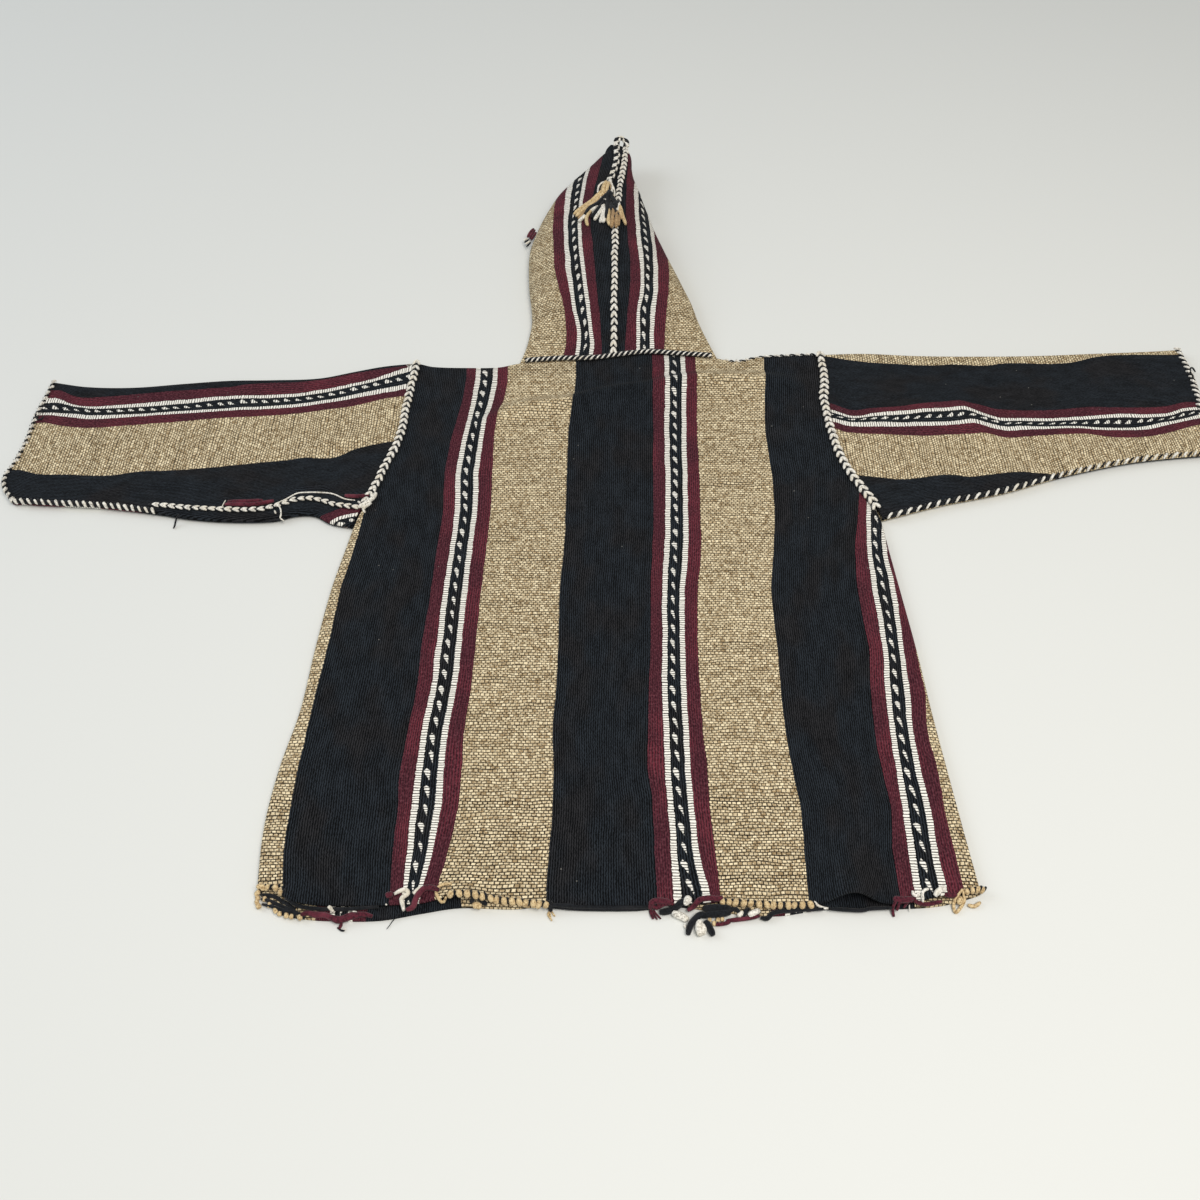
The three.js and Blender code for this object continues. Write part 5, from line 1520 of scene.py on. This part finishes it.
HEM_ENDS_RIGHT = (
    (BLACK_YARN, 1.8, ((85.8, -350), (90.9, -347.1), (95.5, -350.8))),
    (MAROON_YARN, 1.8, ((84, -356.4), (95, -355.3), (103.2, -354.4), (111.2, -353))),
    (WHITE_YARN, 2.1, ((93.2, -353.1), (97.8, -350))),
    (WHITE_YARN, 2.5, ((101.9, -352.9), (106.4, -350.9), (111.2, -348.6))),
    (BLACK_YARN, 1.8, ((97.8, -353.4), (100.3, -349.1), (102.9, -347.1))),
    (BLACK_YARN, 2.0, ((111.8, -354.3), (117.2, -354.8), (122.1, -350.8), (132.1, -348.5),
     (145.9, -347.7), (163.6, -347.1))),
    (WHITE_YARN, 1.1, ((155.7, -342.8), (158.7, -344.8), (163.5, -346), (168, -346.5))),
    (BLACK_YARN, 1.6, ((167.7, -347.1), (182.6, -347.8), (194.8, -348.2), (203.2, -346.8),
     (219.6, -346.5))),
    (MAROON_YARN, 2.5, ((220.6, -341.8), (224, -340.9), (229.3, -341.8), (236.6, -340.6))),
    (MAROON_YARN, 1.3, ((223.7, -340.8), (220.4, -346.4), (220.8, -352.7))),
    (MAROON_YARN, 1.2, ((226.1, -341.9), (223.7, -348.2))),
    (MAROON_YARN, 1.0, ((233.3, -341.8), (229.3, -346.1))),
    (MAROON_YARN, 1.8, ((237.6, -341.8), (248.6, -343.2), (261.6, -340.6))),
    (WHITE_YARN, 1.4, ((237.6, -333.7), (237.9, -336.9), (240.8, -337.8), (242.5, -335.4))),
    (WHITE_YARN, 0.5, ((234.2, -343.9), (234.5, -348.2))),
    (WHITE_YARN, 1.3, ((251.1, -331.9), (247.3, -333.1), (245, -336.9), (245.4, -342.4))),
    (WHITE_YARN, 2.5, ((264.7, -332.2), (259.8, -333.7), (254.9, -338.3))),
    (MAROON_YARN, 2.0, ((263.6, -336.7), (269.6, -336.7), (274.1, -335.8))),
    (TAN_YARN, 1.3, ((278.9, -332.3), (272.8, -338.5), (271, -343.7), (271.9, -349.2), (276.8, -344.8),
     (280.6, -338.8), (278.9, -332.3))),
    (TAN_YARN, 2.3, ((277.1, -337.1), (275.2, -343.2))),
    (TAN_YARN, 1.6, ((283.1, -342.8), (288.3, -343.9), (293.7, -340.4))),
)


def hem_height(x, y):
    """Top of what lies at a place by the hem: the back, the front or the table."""
    on_back = back_height(x, np.maximum(y, back_hem(x) + 0.001)) + CLOTH / 2
    on_front = 0 * x + LAID + CLOTH / 2
    over_front = on_front + (on_back - on_front) * eased(y - back_hem(x), -0.003, 0.0015)
    return over_front * eased(y - front_hem(x), -0.006, 0.0005)


chance = np.random.default_rng(31)
loops = []
for layer, start, end, count, radius in TAN_LOOPS:
    spacing = (end - start) / (count - 1)
    for number in range(count):
        x = start + spacing * number + chance.uniform(-0.1, 0.1) * spacing
        edge = float(back_hem(x) if layer == "back" else front_hem(x))
        middle = float(back_height(x, edge + 0.001)) if layer == "back" else LAID
        length = 1 + chance.uniform(-0.15, 0.25)
        lean = chance.uniform(-0.0007, 0.0007)
        route = []
        for step, (along, lift) in enumerate(LOOP_PROFILES[layer]):
            route.append((x + lean * step, edge + along * length, middle + CLOTH / 2 + lift))
        thick = radius * (1 + chance.uniform(-0.1, 0.1))
        loops.append((*yarn(route, thick * LOOP_SWELL, 8), TAN_YARN))
        route = [(px + spacing / 2, py + 0.0008, pz - 0.0002) for px, py, pz in route]
        loops.append((*yarn(route, BETWEEN_LOOPS, 6), BLACK_YARN))
hem_parts = loops + loose_yarns(HEM_ENDS_LEFT + HEM_ENDS_MIDDLE + HEM_ENDS_RIGHT, hem_height)
hem_ends = piece("hem_loops_and_ends", hem_parts, all_yarns)

# ---------------------------------------------------------------- tassel
# The cord's yarns and some more in tan and brown are bound into a knot and cut off to a short
# uneven fan, which lies on the hood.

KNOT_AT = (-0.0105, 0.634, 0.048)
KNOT_RADIUS = 0.009
KNOT_CORE = (0.85, 1.1, 0.42)
# How far the hood's plait stands up, and how far the knot lifts the strands close to it.
HOOD_PLAIT = 0.0034
KNOT_LIFT = 0.0075
# Yarn, its radius and the places that it passes over, all in millimetres.
TASSEL_STRANDS = (
    (TAN_YARN, 2.3, ((-16.6, 622.4), (-33.6, 606.6), (-46.4, 592.4), (-52.4, 584))),
    (TAN_YARN, 2.4, ((-14.1, 619.5), (-30.3, 602.3), (-42.3, 588.2), (-49.7, 577.8))),
    (BROWN_YARN, 2.3, ((-12.5, 615.2), (-27.1, 598.1), (-38.3, 584), (-46.5, 571.5))),
    (WHITE_YARN, 2.3, ((-22.2, 598.1), (-34.2, 584), (-41.4, 572.8), (-46.1, 565.7))),
    (TAN_YARN, 2.2, ((-29.5, 591), (-35.3, 577), (-36.2, 563.2), (-34.5, 554.7))),
    (BLACK_YARN, 2.8, ((-10.5, 615.2), (-22.2, 600.9), (-31.9, 591.8), (-39, 577))),
    (BLACK_YARN, 2.7, ((-10.5, 615.2), (-15.8, 600.9), (-22.2, 588.2), (-30.2, 572.8))),
    (WHITE_YARN, 2.3, ((-13.8, 599.5), (-20.3, 591.8), (-25.4, 584), (-28.3, 577.8))),
    (WHITE_YARN, 2.3, ((-13.4, 598.1), (-19, 584), (-23.5, 572.8), (-26, 565.7))),
    (WHITE_YARN, 2.3, ((-12.9, 595.2), (-15.5, 581.2), (-17.2, 570.1), (-18.7, 561))),
    (WHITE_YARN, 2.3, ((-12.2, 592.4), (-12.6, 578.4), (-13.6, 567.3), (-14.9, 560.2))),
    (BLACK_YARN, 2.9, ((-8.9, 618), (-9, 600.9), (-10, 584), (-11.7, 566.8))),
    (BLACK_YARN, 2.8, ((-7, 620.9), (-6.6, 606), (-4.8, 592), (-3, 580))),
    (TAN_YARN, 2.7, ((-6.6, 590), (-7.8, 578.5), (-8.2, 567.3), (-7.1, 552))),
    (BLACK_YARN, 2.7, ((-5.5, 619), (-2, 606.6), (1.2, 596), (2.2, 584))),
    (BROWN_YARN, 2.7, ((-2.4, 586.5), (-1.7, 576.5), (-2.8, 561.8), (-4.2, 544.9))),
    (TAN_YARN, 2.3, ((-4.7, 618), (-2.1, 609.4), (0.4, 599.2))),
    (BLACK_YARN, 2.4, ((-8.4, 620.9), (-6.7, 606.6), (-3.2, 593.5), (1.9, 594.1), (4.9, 600.9))),
    (WHITE_YARN, 2.3, ((5.8, 597.5), (3.8, 586.8), (1.8, 573.4))),
    (BLACK_YARN, 2.7, ((-5.5, 595.2), (-0.4, 581.2), (2.7, 570.1), (-1.2, 562.9))),
    (BROWN_YARN, 2.6, ((2.6, 578.4), (2, 563.2), (1.4, 543.8))),
    (BROWN_YARN, 2.1, ((5.3, 572.8), (4.8, 561.8), (4.1, 548.7))),
    (TAN_YARN, 2.3, ((6.4, 592.4), (8.9, 579.8), (11.3, 566.8), (13.7, 555.8))),
    (TAN_YARN, 2.0, ((5.1, 591.8), (6.6, 578.4), (8.4, 567.3))),
)
KNOT_TURNS = (
    (WHITE_YARN, 1.2, ((-1.2, 608.6), (-9.3, 606.3), (-17.4, 610), (-21.6, 622.9), (-20.6, 636),
     (-14.1, 641.9), (-5.9, 639.8), (-0.8, 628.7), (-0.2, 617.2), (-2.2, 608.6))),
    (TAN_YARN, 2.6, ((-10.5, 640.4), (-14.1, 628.7), (-15, 614.3))),
    (TAN_YARN, 2.2, ((-7.2, 638.9), (-9.6, 627.3), (-10.6, 612.8))),
    (WHITE_YARN, 1.3, ((-5.2, 644.5), (-3, 634.5), (-3.7, 622.9), (-6.1, 611.4))),
    (BLACK_YARN, 1.1, ((-7.2, 634.5), (-6.3, 622.9), (-7.7, 610.8))),
    (WHITE_YARN, 1.2, ((-9.2, 643.3), (-11.5, 631.6), (-12.2, 617.2), (-9.3, 608.6))),
    (WHITE_YARN, 2.4, ((-5.2, 649.2), (-5.9, 643.3), (-5.3, 638.1))),
)


def hood_surface(x, y):
    seam = hood_seam(y)
    edge = np.where(x < seam, hood_left(y), hood_right(y))
    share = np.clip((x - seam) / (edge - seam), 0, 1)
    waist = LAID + EDGE_ROLL
    rise = (1 - share ** CROWN_ROUNDNESS) ** (1 / CROWN_ROUNDNESS)
    beside = eased(np.abs(x - seam), HOOD_SEAM_WIDTH * 0.5, HOOD_SEAM_WIDTH * 0.9)
    on_plait = HOOD_PLAIT * (1 - beside)
    return waist + (hood_crown(y) - waist) * rise + CLOTH / 2 + on_plait


def strand_height(x, y):
    from_knot = np.hypot(x - KNOT_AT[0], y - KNOT_AT[1])
    raised = KNOT_LIFT * (1 - eased(from_knot, 0.008, 0.034))
    return hood_surface(x, y) + 0.0006 + raised


def knot_height(x, y):
    across = (x - KNOT_AT[0]) / (KNOT_RADIUS * 1.25)
    along = (y - KNOT_AT[1]) / (KNOT_RADIUS * 1.9)
    dome = np.sqrt(np.maximum(1 - across ** 2 - along ** 2, 0.05))
    return KNOT_AT[2] + (0.0052 * dome - 0.0035)


tassel_parts = loose_yarns(TASSEL_STRANDS, strand_height) + loose_yarns(KNOT_TURNS, knot_height)
bpy.ops.mesh.primitive_uv_sphere_add(segments=20, ring_count=12, radius=KNOT_RADIUS, location=KNOT_AT)
knot_core = bpy.context.object
core_points = np.array([knot_core.matrix_world @ vertex.co for vertex in knot_core.data.vertices])
core_points = np.array(KNOT_AT) + (core_points - np.array(KNOT_AT)) * KNOT_CORE
core_points = core_points - (0, 0.001, 0.002)
core_faces = [tuple(face.vertices) for face in knot_core.data.polygons]
tassel_parts.append((core_points, core_faces, TAN_YARN))
bpy.data.objects.remove(knot_core)
tassel = piece("tip_tassel", tassel_parts, all_yarns)
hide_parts("tassel")

# ---------------------------------------------------------------- table and light
# A white laminated table, and soft light from a ceiling and from windows to the left.

bpy.ops.mesh.primitive_plane_add(size=14, location=(0, 0, -0.0004))
table = bpy.context.object
table.name = "table_top"
table_white = bpy.data.materials.new("white_laminate")
table_white.use_nodes = True
tree = table_white.node_tree
shader = tree.nodes["Principled BSDF"]
shader.inputs["Base Color"].default_value = linear("E1E3E1")
shader.inputs["Roughness"].default_value = 0.55
shader.inputs["Specular IOR Level"].default_value = 0.25
table.data.materials.append(table_white)

world = bpy.data.worlds.new("studio")
bpy.context.scene.world = world
world.use_nodes = True
world.node_tree.nodes["Background"].inputs["Color"].default_value = linear("E9EAE8")
world.node_tree.nodes["Background"].inputs["Strength"].default_value = 0.5

# Name, place, what it is aimed at, size, power and colour.
LAMPS = (
    ("ceiling", (0.6, -0.95, 2.4), (0.0, 0.15, 0.0), 1.4, 50, "FBF5EC"),
    ("window", (-3.4, 1.0, 2.2), (0.0, 0.1, 0.0), 2.2, 50, "E2EBF6"),
)
for name, place_at, towards, size, power, colour_code in LAMPS:
    bpy.ops.object.light_add(type="AREA", location=place_at)
    lamp = bpy.context.object
    lamp.name = name
    lamp.data.size = size
    lamp.data.energy = power
    lamp.data.color = linear(colour_code)[:3]
    aim = np.array(towards) - np.array(place_at)
    tilt = math.atan2(math.hypot(aim[0], aim[1]), -aim[2])
    lamp.rotation_euler = (tilt, 0, math.atan2(-aim[0], aim[1]))
